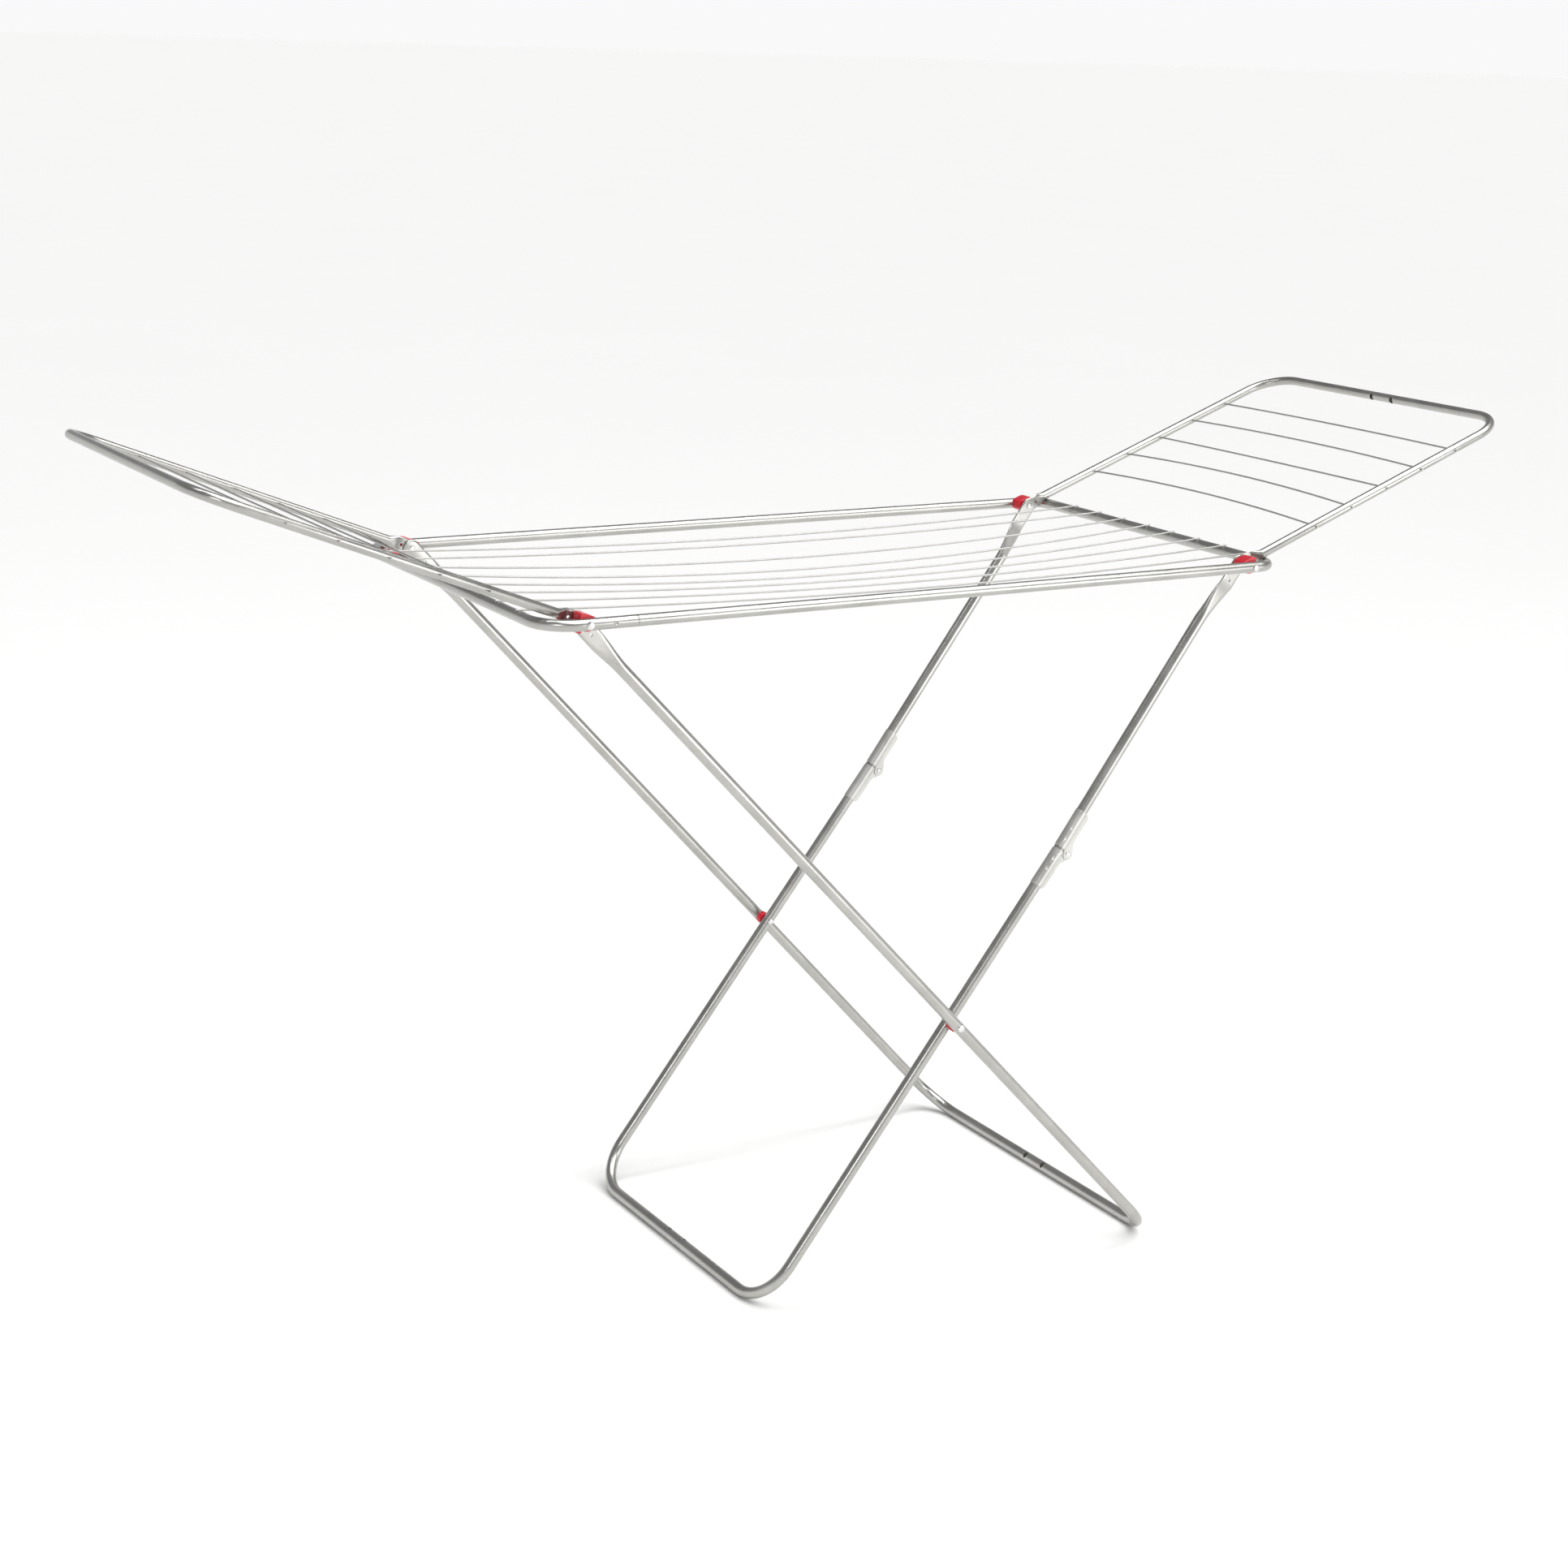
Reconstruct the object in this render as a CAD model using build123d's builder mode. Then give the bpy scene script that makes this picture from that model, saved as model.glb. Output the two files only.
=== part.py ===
from build123d import *
import os
from math import atan2, cos, degrees, hypot, radians, sin

os.makedirs("parts", exist_ok=True)

# ---------------------------------------------------------------- driving dimensions, mm
# X runs along the rack, Y across it, Z up. The origin is on the floor under the middle.
RAIL_D = 14.0           # main frame tube
LEG_D = 15.0            # leg tubes
WING_D = 12.0           # wing tubes
WALL = 0.8              # every tube's wall
WIRE_D = 2.5            # drying wires

RAIL_HEIGHT = 913.0     # floor to the main frame's axis
PIVOT_HALF = 479.0      # middle of the rack to a corner pivot, along X
RAIL_HALF = 258.0       # middle of the rack to a rail's axis, along Y
LEFT_OVERHANG = 53.0    # left pivots to the left end bar's axis
RIGHT_OVERHANG = 38.0   # right pivots to the right end bar's axis: the wing rests on it
LEFT_CORNER_R = 44.0
RIGHT_CORNER_R = 28.0
RAIL_JOINT_X = -418.0   # the one joint in the main frame tube, on the front rail
RAIL_JOINT_GAP = 0.6
SPIGOT_LENGTH = 45.0
DIMPLE_OFFSET = 29.0    # pressed dimple that locks the joint

OUTER_FOOT_X = 390.7    # outer leg frame, axis of its foot bar
OUTER_TOP_HALF = 225.5
OUTER_FOOT_HALF = 259.0
OUTER_FOOT_R = 52.0
INNER_FOOT_X = -196.4   # inner leg frame, axis of its foot bar
INNER_TOP_HALF = 221.5
INNER_FOOT_HALF = 225.0
INNER_FOOT_R = 60.0
SPLIT_X = 223.8         # where the inner legs are cut at the knee
SPLIT_Z = 557.5
KNEE_OFFSET = 16.0      # knee pin from the leg tube's axis
BUTT_GAP = 0.6          # between the two tube ends at the knee

WING_ANGLE = 20.8       # wings above the horizontal
WING_REACH = 475.0      # corner pivot to the wing's end bar axis
WING_HALF = 237.9       # middle of the rack to a wing tube's axis
WING_CORNER_R = 52.0
# wing wires: place along the wing from its pivot, and how far the wire bows to the end bar
WING_WIRES = ((122.0, 13.0), (185.0, 13.0), (248.0, 2.0), (310.5, 8.0), (373.5, 4.0))
WING_WIRE_POKE = 3.5    # wire past the tube's outer side

FRAME_WIRE_PITCH = 54.0
FRAME_WIRE_FIRST_RIGHT = 170.0   # rearmost wire on the right end bar
FRAME_WIRE_FIRST_LEFT = 186.0    # and on the left one: the wires run slightly askew
FRAME_WIRE_SAGS = (14.0, 12.0, 22.0, 26.0, 24.0, 20.0, 16.0, 12.0)
FRAME_WIRE_POKE = 4.0   # wire past the end bar's axis
WIRE_SEAT = 0.6         # depth of the welded seat in the tube
SEAT_FIT = 0.04         # room round a wire in its seat or hole, and round a tube in its bracket

PLATE_T = 2.4           # both walls of a tube end pressed flat
PLATE_GAP = 0.3
TAPER_SINK = 0.2        # how far a taper's thin end lies inside its plate
LEG_PLATE_W = 22.0
WING_PLATE_W = 18.8
LEG_FLAT = 40.0         # pivot to the end of the flat
LEG_TAPER = 36.0        # from flat back to round
LEG_DRAIN_OFFSET = 26.0
WING_FLAT = 18.0
WING_TAPER = 14.0
WING_DRAIN_OFFSET = 14.0
DRAIN_HOLE_D = 4.0

RIVET_D = 6.0
RIVET_FIT = 0.05        # radial clearance of a running fit
RIVET_HEAD_D = 9.5
RIVET_HEAD_T = 1.6
RIVET_TAIL_D = 8.4
RIVET_TAIL_T = 1.4

SPACER_TOP = 12.0       # corner spacer, from the pivot axis
SPACER_BOTTOM = 9.5
SPACER_SADDLE = 3.5     # how far its lips reach round the rail
SPACER_REACH_OUT = 8.0  # towards the near end bar
SPACER_REACH_IN = 13.0
STOP_START = 13.0       # the lug that a left wing plate rests on, from the pivot
STOP_REACH = 24.0
STOP_T = 4.0

CROSS_SPACER_D = 17.0
BRACKET_T = 0.8         # knee bracket sheet
BRACKET_LENGTH = 54.0
BRACKET_START = 2.0
EAR_R = 7.0
FIN_REACH = 14.0        # fin's edge from the tube's axis
CRIMP_PLACES = (13.0, 28.5)      # dents that hold the sheet on its tube
CRIMP_R = 2.0
CRIMP_DEPTH = 0.5
CRIMP_TURN = 35.0       # round the tube, from the outer side away from the fin
PAIR_HOLE_D = 5.0       # the two holes in the middle of each U bar
PAIR_HOLE_PITCH = 40.0

# ---------------------------------------------------------------- worked-out places
RAIL_R = RAIL_D / 2
LEG_R = LEG_D / 2
WING_R = WING_D / 2
WIRE_R = WIRE_D / 2
HOLE_R = RIVET_D / 2 + RIVET_FIT
LEFT_END_X = -PIVOT_HALF - LEFT_OVERHANG
RIGHT_END_X = PIVOT_HALF + RIGHT_OVERHANG
FOOT_Z = LEG_R

WING_PLATE_IN = WING_HALF - WING_R          # a wing plate's inner face, |y|
WING_PLATE_OUT = WING_PLATE_IN + PLATE_T
LEG_PLATE_OUT = WING_PLATE_IN - PLATE_GAP
LEG_PLATE_IN = LEG_PLATE_OUT - PLATE_T
SPACER_IN = WING_PLATE_OUT + PLATE_GAP
SPACER_OUT = RAIL_HALF - RAIL_R + SPACER_SADDLE

SIDES = {"front": -1, "rear": 1}
ENDS = {"left": -1, "right": 1}


def heading(start, end):
    """Angle of the line from start to end, both (x, z), in degrees above +X."""
    return degrees(atan2(end[1] - start[1], end[0] - start[0]))


def along(start, angle, distance, side_shift=0.0):
    """The point that lies distance along a line and side_shift to its right."""
    a = radians(angle)
    return (
        start[0] + distance * cos(a) + side_shift * sin(a),
        start[1] + distance * sin(a) - side_shift * cos(a),
    )


LEFT_PIVOT = (-PIVOT_HALF, RAIL_HEIGHT)
RIGHT_PIVOT = (PIVOT_HALF, RAIL_HEIGHT)
OUTER_FOOT = (OUTER_FOOT_X, FOOT_Z)
INNER_FOOT = (INNER_FOOT_X, FOOT_Z)
SPLIT = (SPLIT_X, SPLIT_Z)
OUTER_ANGLE = heading(LEFT_PIVOT, OUTER_FOOT)
UPPER_ANGLE = heading(RIGHT_PIVOT, SPLIT)
LOWER_ANGLE = heading(SPLIT, INNER_FOOT)
OUTER_LENGTH = hypot(OUTER_FOOT[0] - LEFT_PIVOT[0], OUTER_FOOT[1] - LEFT_PIVOT[1])
UPPER_LENGTH = hypot(SPLIT[0] - RIGHT_PIVOT[0], SPLIT[1] - RIGHT_PIVOT[1])
LOWER_LENGTH = hypot(INNER_FOOT[0] - SPLIT[0], INNER_FOOT[1] - SPLIT[1])
OUTER_SPLAY = (OUTER_FOOT_HALF - OUTER_TOP_HALF) / OUTER_LENGTH
INNER_SPLAY = (INNER_FOOT_HALF - INNER_TOP_HALF) / (UPPER_LENGTH + LOWER_LENGTH)
KNEE = along(SPLIT, LOWER_ANGLE, 0.0, -KNEE_OFFSET)


def crossing():
    """Where the outer and the inner lower legs cross, seen from the front."""
    a, b = radians(OUTER_ANGLE), radians(LOWER_ANGLE)
    dx, dz = SPLIT[0] - LEFT_PIVOT[0], SPLIT[1] - LEFT_PIVOT[1]
    reach = (dx * sin(b) - dz * cos(b)) / (cos(a) * sin(b) - sin(a) * cos(b))
    return along(LEFT_PIVOT, OUTER_ANGLE, reach), reach


CROSS, OUTER_CROSS_REACH = crossing()
INNER_CROSS_REACH = hypot(CROSS[0] - SPLIT[0], CROSS[1] - SPLIT[1])


def outer_half(distance):
    """Half-width of the outer leg frame at a distance below its pivots."""
    return OUTER_TOP_HALF + OUTER_SPLAY * distance


def inner_half(distance):
    """Half-width of the inner leg frame at a distance below its pivots."""
    return INNER_TOP_HALF + INNER_SPLAY * distance


def bent_tube(points, radii, diameter):
    """A round tube along straight runs joined by bends."""
    with BuildPart() as tube:
        with BuildLine() as path:
            if radii:
                FilletPolyline(*points, radius=radii)
            else:
                Polyline(*points)
        with BuildSketch(Plane(origin=path.line @ 0, z_dir=path.line % 0)):
            Circle(diameter / 2)
            Circle(diameter / 2 - WALL, mode=Mode.SUBTRACT)
        sweep()
    return tube.part


def cross_bore(place, radius, y_low, y_high):
    """A round tool along Y, to drill a hole with; place is (x, z)."""
    with BuildPart() as tool:
        with BuildSketch(Plane(origin=(place[0], y_low, place[1]), z_dir=(0, 1, 0))):
            Circle(radius)
        extrude(amount=y_high - y_low)
    return tool.part


def flat_end(pivot, angle, plate_in, plate_out, width, tube_half, splay, diameter, side, flat, taper, drain):
    """A tube end pressed flat against one side, with its pivot hole and a drain hole."""
    a = radians(angle)
    run = (cos(a), 0, sin(a))
    lean = side * splay
    plate_mid = (plate_in + plate_out) / 2
    x, z = along(pivot, angle, flat + taper)
    round_plane = Plane(
        origin=(x, side * tube_half, z),
        x_dir=(-lean * cos(a), 1, -lean * sin(a)),
        z_dir=(cos(a), lean, sin(a)),
    )
    x, z = along(pivot, angle, flat - 1)
    pressed_plane = Plane(origin=(x, side * plate_mid, z), x_dir=(0, 1, 0), z_dir=run)
    plate_plane = Plane(origin=(pivot[0], side * plate_mid, pivot[1]), x_dir=run, z_dir=(0, 1, 0))
    with BuildPart() as end:
        with BuildSketch(round_plane):
            Circle(diameter / 2)
        with BuildSketch(pressed_plane):
            Ellipse(PLATE_T / 2 - TAPER_SINK, width / 2 - TAPER_SINK)
        loft()
        with BuildSketch(plate_plane):
            Circle(width / 2)
            with Locations((flat / 2, 0)):
                Rectangle(flat, width)
        extrude(amount=PLATE_T / 2, both=True)
        with BuildSketch(plate_plane):
            Circle(HOLE_R)
            with Locations((drain, 0)):
                Circle(DRAIN_HOLE_D / 2)
        extrude(amount=PLATE_T, both=True, mode=Mode.SUBTRACT)
    return end.part


def finish(part, name):
    """Label a finished piece and write it."""
    part.label = name
    export_step(part, f"parts/{name}.step")
    print(name, "solids", len(part.solids()), "volume", round(part.volume))


# ---------------------------------------------------------------- main frame
def frame_wire_path(index):
    """Left end, lowest point and right end of one drying wire of the main frame."""
    z = RAIL_HEIGHT + RAIL_R + WIRE_R - WIRE_SEAT
    left_y = FRAME_WIRE_FIRST_LEFT - index * FRAME_WIRE_PITCH
    right_y = FRAME_WIRE_FIRST_RIGHT - index * FRAME_WIRE_PITCH
    left = (LEFT_END_X - FRAME_WIRE_POKE, left_y, z)
    right = (RIGHT_END_X + FRAME_WIRE_POKE, right_y, z)
    middle = ((left[0] + right[0]) / 2, (left_y + right_y) / 2, z - FRAME_WIRE_SAGS[index])
    return left, middle, right


def frame_wire(index):
    """One drying wire: it is welded onto both end bars and sags between them."""
    with BuildPart() as wire:
        with BuildLine() as path:
            ThreePointArc(*frame_wire_path(index))
        with BuildSketch(Plane(origin=path.line @ 0, z_dir=path.line % 0)):
            Circle(WIRE_R)
        sweep()
    return wire.part


def frame_wire_seats(index):
    """Tool for the two shallow seats that a drying wire lies in."""
    with BuildPart() as tool:
        with BuildLine(mode=Mode.PRIVATE) as path:
            ThreePointArc(*frame_wire_path(index))
        for end in (0, 1):
            with BuildSketch(Plane(origin=path.line @ end, z_dir=path.line % end)):
                Circle(WIRE_R + SEAT_FIT)
            extrude(amount=RAIL_D, both=True)
    return tool.part


frame_wires = [frame_wire(index) for index in range(len(FRAME_WIRE_SAGS))]

frame_loop = bent_tube(
    [
        (RAIL_JOINT_X, -RAIL_HALF, RAIL_HEIGHT),
        (RIGHT_END_X, -RAIL_HALF, RAIL_HEIGHT),
        (RIGHT_END_X, RAIL_HALF, RAIL_HEIGHT),
        (LEFT_END_X, RAIL_HALF, RAIL_HEIGHT),
        (LEFT_END_X, -RAIL_HALF, RAIL_HEIGHT),
        (RAIL_JOINT_X - RAIL_JOINT_GAP, -RAIL_HALF, RAIL_HEIGHT),
    ],
    [RIGHT_CORNER_R, RIGHT_CORNER_R, LEFT_CORNER_R, LEFT_CORNER_R],
    RAIL_D,
)
with BuildPart() as main_frame_tube:
    add(frame_loop)
    # the swaged spigot that joins the tube's two ends inside the front rail
    with BuildSketch(Plane(origin=(RAIL_JOINT_X, -RAIL_HALF, RAIL_HEIGHT), z_dir=(1, 0, 0))):
        Circle(RAIL_R - WALL)
        Circle(RAIL_R - 2 * WALL, mode=Mode.SUBTRACT)
    extrude(amount=SPIGOT_LENGTH / 2, both=True)
    for side in SIDES.values():
        for pivot in (LEFT_PIVOT, RIGHT_PIVOT):
            reach = side * (RAIL_HALF - RAIL_D), side * (RAIL_HALF + RAIL_D)
            add(cross_bore(pivot, HOLE_R, min(reach), max(reach)), mode=Mode.SUBTRACT)
    with Locations((RAIL_JOINT_X - DIMPLE_OFFSET, -RAIL_HALF - RAIL_R - 1.6, RAIL_HEIGHT + 1)):
        Sphere(2.4, mode=Mode.SUBTRACT)
    for index in range(len(FRAME_WIRE_SAGS)):
        add(frame_wire_seats(index), mode=Mode.SUBTRACT)
finish(main_frame_tube.part, "main_frame_tube")
for index, wire in enumerate(frame_wires, start=1):
    finish(wire, f"frame_wire_{index}")


# ---------------------------------------------------------------- corner spacers and rivets
def corner_spacer(pivot, side, end, with_stop):
    """Plastic block between a rail and the pressed ends; the left ones have a lug for the wing."""
    wing_line = radians(WING_ANGLE)
    lug_top = WING_PLATE_W / 2 + PLATE_GAP

    def lug_point(distance, drop):
        """A point under the wing plate; distance along the wing, drop below its axis."""
        return (
            end * (distance * cos(wing_line) + drop * sin(wing_line)),
            distance * sin(wing_line) - drop * cos(wing_line),
        )

    inner = Plane(origin=(pivot[0], side * SPACER_IN, pivot[1]), x_dir=(1, 0, 0), z_dir=(0, -1, 0))
    depth = -side * (SPACER_OUT - SPACER_IN)
    with BuildPart() as spacer:
        with BuildSketch(inner):
            with BuildLine():
                Polyline(
                    (end * SPACER_REACH_OUT, -SPACER_BOTTOM + 2),
                    (end * SPACER_REACH_OUT, SPACER_TOP),
                    (end * 1.0, SPACER_TOP),
                    (-end * SPACER_REACH_IN, SPACER_BOTTOM - 3),
                    (-end * SPACER_REACH_IN, -SPACER_BOTTOM + 3),
                    (-end * (SPACER_REACH_IN - 4), -SPACER_BOTTOM),
                    (end * (SPACER_REACH_OUT - 2), -SPACER_BOTTOM),
                    close=True,
                )
            make_face()
        extrude(amount=depth)
        lug_runs = [(-3.0, depth / 2), (STOP_START, side * (SPACER_IN - WING_PLATE_IN))]
        for near, run in lug_runs if with_stop else []:
            with BuildSketch(inner):
                with BuildLine():
                    Polyline(
                        lug_point(near, lug_top),
                        lug_point(STOP_REACH, lug_top),
                        lug_point(STOP_REACH, lug_top + STOP_T),
                        lug_point(near, lug_top + STOP_T),
                        close=True,
                    )
                make_face()
            extrude(amount=run)
        with BuildSketch(Plane(origin=(pivot[0], side * RAIL_HALF, pivot[1]), z_dir=(1, 0, 0))):
            Circle(RAIL_R)
        extrude(amount=60, both=True, mode=Mode.SUBTRACT)
        add(cross_bore(pivot, HOLE_R, *sorted((side * 200, side * 300))), mode=Mode.SUBTRACT)
    return spacer.part


for end_name, end in ENDS.items():
    for side_name, side in SIDES.items():
        pivot = (end * PIVOT_HALF, RAIL_HEIGHT)
        finish(corner_spacer(pivot, side, end, end < 0), f"corner_spacer_{end_name}_{side_name}")


def round_bar(place, radius, start, stop, side):
    """A round bar along Y between two distances from the middle, on one side of the rack."""
    return cross_bore(place, radius, *sorted((side * start, side * stop)))


def corner_rivet(pivot, side):
    """Rivet through rail, spacer, wing end and leg end: domed head outside, rolled tail inside."""
    with BuildPart() as rivet:
        add(round_bar(pivot, RIVET_D / 2, LEG_PLATE_IN - RIVET_TAIL_T, RAIL_HALF + RAIL_R + 0.5, side))
        add(round_bar(pivot, RIVET_HEAD_D / 2, RAIL_HALF + 4, RAIL_HALF + RAIL_R + RIVET_HEAD_T, side))
        with BuildSketch(Plane(origin=(pivot[0], side * RAIL_HALF, pivot[1]), z_dir=(1, 0, 0))):
            Circle(RAIL_R)
        extrude(amount=20, both=True, mode=Mode.SUBTRACT)
        add(round_bar(pivot, RIVET_D / 2, LEG_PLATE_IN - RIVET_TAIL_T, RAIL_HALF + RAIL_R + 0.5, side))
        tail = LEG_PLATE_IN - RIVET_FIT
        add(round_bar(pivot, RIVET_TAIL_D / 2, tail - RIVET_TAIL_T, tail, side))
    return rivet.part


for end_name, end in ENDS.items():
    pivot = (end * PIVOT_HALF, RAIL_HEIGHT)
    rivets = Compound(children=[corner_rivet(pivot, side) for side in SIDES.values()])
    finish(rivets, f"corner_rivets_{end_name}")


# ---------------------------------------------------------------- wings
def wing_point(end, distance, y, shift=0.0):
    """A point in a wing's plane; distance runs outwards from the pivot axis."""
    a = radians(WING_ANGLE)
    return (
        end * (PIVOT_HALF + distance * cos(a)) - end * shift * sin(a),
        y,
        RAIL_HEIGHT + distance * sin(a) + shift * cos(a),
    )


def wing_wire(end, place, bow, radius=WIRE_R):
    """One wire of a wing, through both tubes and bowed towards the end bar."""
    reach = WING_HALF + WING_R + WING_WIRE_POKE
    with BuildPart() as wire:
        with BuildLine() as path:
            ThreePointArc(
                wing_point(end, place, -reach),
                wing_point(end, place + bow, 0),
                wing_point(end, place, reach),
            )
        with BuildSketch(Plane(origin=path.line @ 0, z_dir=path.line % 0)):
            Circle(radius)
        sweep()
    return wire.part


def wing_tube(end):
    """One bent tube: two arms with pressed ends and the end bar between them."""
    start = WING_FLAT + WING_TAPER
    loop = bent_tube(
        [
            wing_point(end, start, -WING_HALF),
            wing_point(end, WING_REACH, -WING_HALF),
            wing_point(end, WING_REACH, WING_HALF),
            wing_point(end, start, WING_HALF),
        ],
        [WING_CORNER_R, WING_CORNER_R],
        WING_D,
    )
    pivot = (end * PIVOT_HALF, RAIL_HEIGHT)
    angle = WING_ANGLE if end > 0 else 180 - WING_ANGLE
    with BuildPart() as wing:
        add(loop)
        for side in SIDES.values():
            add(
                flat_end(
                    pivot, angle, WING_PLATE_IN, WING_PLATE_OUT, WING_PLATE_W, WING_HALF, 0, WING_D, side,
                    WING_FLAT, WING_TAPER, WING_DRAIN_OFFSET,
                )
            )
        for place, bow in WING_WIRES:
            add(wing_wire(end, place, bow, WIRE_R + SEAT_FIT), mode=Mode.SUBTRACT)
        inward = wing_point(end, WING_REACH - WING_R, 0)
        axis = (wing_point(end, 1, 0)[0] - wing_point(end, 0, 0)[0], 0, sin(radians(WING_ANGLE)))
        with BuildSketch(Plane(origin=inward, x_dir=(0, 1, 0), z_dir=axis)):
            with GridLocations(PAIR_HOLE_PITCH, 1, 2, 1):
                Circle(PAIR_HOLE_D / 2)
        extrude(amount=WING_R, both=True, mode=Mode.SUBTRACT)
    return wing.part


for end_name, end in ENDS.items():
    finish(wing_tube(end), f"wing_tube_{end_name}")
    for index, (place, bow) in enumerate(WING_WIRES, start=1):
        finish(wing_wire(end, place, bow), f"wing_wire_{end_name}_{index}")


# ---------------------------------------------------------------- legs
leg_start = LEG_FLAT + LEG_TAPER


def leg_point(start, angle, distance, half, side):
    x, z = along(start, angle, distance)
    return (x, side * half, z)


def pair_holes(foot, angle):
    """Tool for the two small holes in the inner side of a foot bar."""
    a = radians(angle)
    inner_face = along(foot, angle, -LEG_R)
    with BuildPart() as tool:
        with BuildSketch(Plane(origin=(inner_face[0], 0, inner_face[1]), x_dir=(0, 1, 0), z_dir=(cos(a), 0, sin(a)))):
            with GridLocations(PAIR_HOLE_PITCH, 1, 2, 1):
                Circle(PAIR_HOLE_D / 2)
        extrude(amount=LEG_R, both=True)
    return tool.part


def leg_end(pivot, angle, half, splay, side):
    """The pressed upper end of a leg."""
    return flat_end(
        pivot, angle, LEG_PLATE_IN, LEG_PLATE_OUT, LEG_PLATE_W, half, splay, LEG_D, side,
        LEG_FLAT, LEG_TAPER, LEG_DRAIN_OFFSET,
    )


outer_loop = bent_tube(
    [
        leg_point(LEFT_PIVOT, OUTER_ANGLE, leg_start, outer_half(leg_start), -1),
        leg_point(LEFT_PIVOT, OUTER_ANGLE, OUTER_LENGTH, OUTER_FOOT_HALF, -1),
        leg_point(LEFT_PIVOT, OUTER_ANGLE, OUTER_LENGTH, OUTER_FOOT_HALF, 1),
        leg_point(LEFT_PIVOT, OUTER_ANGLE, leg_start, outer_half(leg_start), 1),
    ],
    [OUTER_FOOT_R, OUTER_FOOT_R],
    LEG_D,
)
with BuildPart() as outer_leg_frame:
    add(outer_loop)
    for side in SIDES.values():
        add(leg_end(LEFT_PIVOT, OUTER_ANGLE, outer_half(leg_start), OUTER_SPLAY, side))
        add(cross_bore(CROSS, HOLE_R, *sorted((side * 200, side * 300))), mode=Mode.SUBTRACT)
    add(pair_holes(OUTER_FOOT, OUTER_ANGLE), mode=Mode.SUBTRACT)
finish(outer_leg_frame.part, "outer_leg_frame")

for side_name, side in SIDES.items():
    half = inner_half(leg_start)
    upper_end = UPPER_LENGTH - BUTT_GAP / 2
    with BuildPart() as upper_leg:
        add(
            bent_tube(
                [
                    leg_point(RIGHT_PIVOT, UPPER_ANGLE, leg_start, half, side),
                    leg_point(RIGHT_PIVOT, UPPER_ANGLE, upper_end, inner_half(UPPER_LENGTH), side),
                ],
                None,
                LEG_D,
            )
        )
        add(leg_end(RIGHT_PIVOT, UPPER_ANGLE, half, INNER_SPLAY, side))
    finish(upper_leg.part, f"inner_upper_leg_{side_name}")

knee_half = inner_half(UPPER_LENGTH)
inner_loop = bent_tube(
    [
        leg_point(SPLIT, LOWER_ANGLE, BUTT_GAP / 2, knee_half, -1),
        leg_point(SPLIT, LOWER_ANGLE, LOWER_LENGTH, INNER_FOOT_HALF, -1),
        leg_point(SPLIT, LOWER_ANGLE, LOWER_LENGTH, INNER_FOOT_HALF, 1),
        leg_point(SPLIT, LOWER_ANGLE, BUTT_GAP / 2, knee_half, 1),
    ],
    [INNER_FOOT_R, INNER_FOOT_R],
    LEG_D,
)
with BuildPart() as inner_leg_frame:
    add(inner_loop)
    for side in SIDES.values():
        add(cross_bore(CROSS, HOLE_R, *sorted((side * 200, side * 300))), mode=Mode.SUBTRACT)
    add(pair_holes(INNER_FOOT, LOWER_ANGLE), mode=Mode.SUBTRACT)
finish(inner_leg_frame.part, "inner_lower_leg_frame")


# ---------------------------------------------------------------- cross pivots
OUTER_MID = outer_half(OUTER_CROSS_REACH)
INNER_MID = inner_half(UPPER_LENGTH + INNER_CROSS_REACH)
CROSS_GAP_IN = INNER_MID + LEG_R + PLATE_GAP     # inner end of what the outer leg carries


def leg_at_cross(angle, splay, middle, side):
    """The space that a leg tube takes up at the crossing."""
    a = radians(angle)
    with BuildPart() as tool:
        with BuildSketch(
            Plane(origin=(CROSS[0], side * middle, CROSS[1]), z_dir=(cos(a), side * splay, sin(a)))
        ):
            Circle(LEG_R + SEAT_FIT)
        extrude(amount=20, both=True)
    return tool.part


def cross_rivet_head(side):
    """Outer part of a cross rivet: head and shank, through the outer leg and its spacer."""
    with BuildPart() as rivet:
        add(round_bar(CROSS, RIVET_HEAD_D / 2, OUTER_MID + 4, OUTER_MID + LEG_R + RIVET_HEAD_T, side))
        add(leg_at_cross(OUTER_ANGLE, OUTER_SPLAY, OUTER_MID, side), mode=Mode.SUBTRACT)
        add(round_bar(CROSS, RIVET_D / 2, CROSS_GAP_IN, OUTER_MID + LEG_R + 0.5, side))
    return rivet.part


def cross_rivet_tail(side):
    """Inner part of a cross rivet: shank through the inner leg and its rolled end."""
    low = INNER_MID - LEG_R
    with BuildPart() as rivet:
        add(round_bar(CROSS, RIVET_TAIL_D / 2, low - RIVET_TAIL_T, INNER_MID - 4, side))
        add(leg_at_cross(LOWER_ANGLE, INNER_SPLAY, INNER_MID, side), mode=Mode.SUBTRACT)
        add(round_bar(CROSS, RIVET_D / 2, low - 0.5, INNER_MID + LEG_R - 0.2, side))
    return rivet.part


def cross_spacer(side):
    """Plastic washer between the two crossing legs, hollowed to sit on the outer one."""
    with BuildPart() as spacer:
        add(round_bar(CROSS, CROSS_SPACER_D / 2, CROSS_GAP_IN, OUTER_MID - LEG_R + 3.0, side))
        add(leg_at_cross(OUTER_ANGLE, OUTER_SPLAY, OUTER_MID, side), mode=Mode.SUBTRACT)
        add(round_bar(CROSS, HOLE_R, CROSS_GAP_IN - 1, OUTER_MID, side), mode=Mode.SUBTRACT)
    return spacer.part


finish(Compound(children=[cross_rivet_head(side) for side in SIDES.values()]), "cross_rivets")
finish(Compound(children=[cross_rivet_tail(side) for side in SIDES.values()]), "cross_rivet_tails")
for side_name, side in SIDES.items():
    finish(cross_spacer(side), f"cross_spacer_{side_name}")


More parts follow.
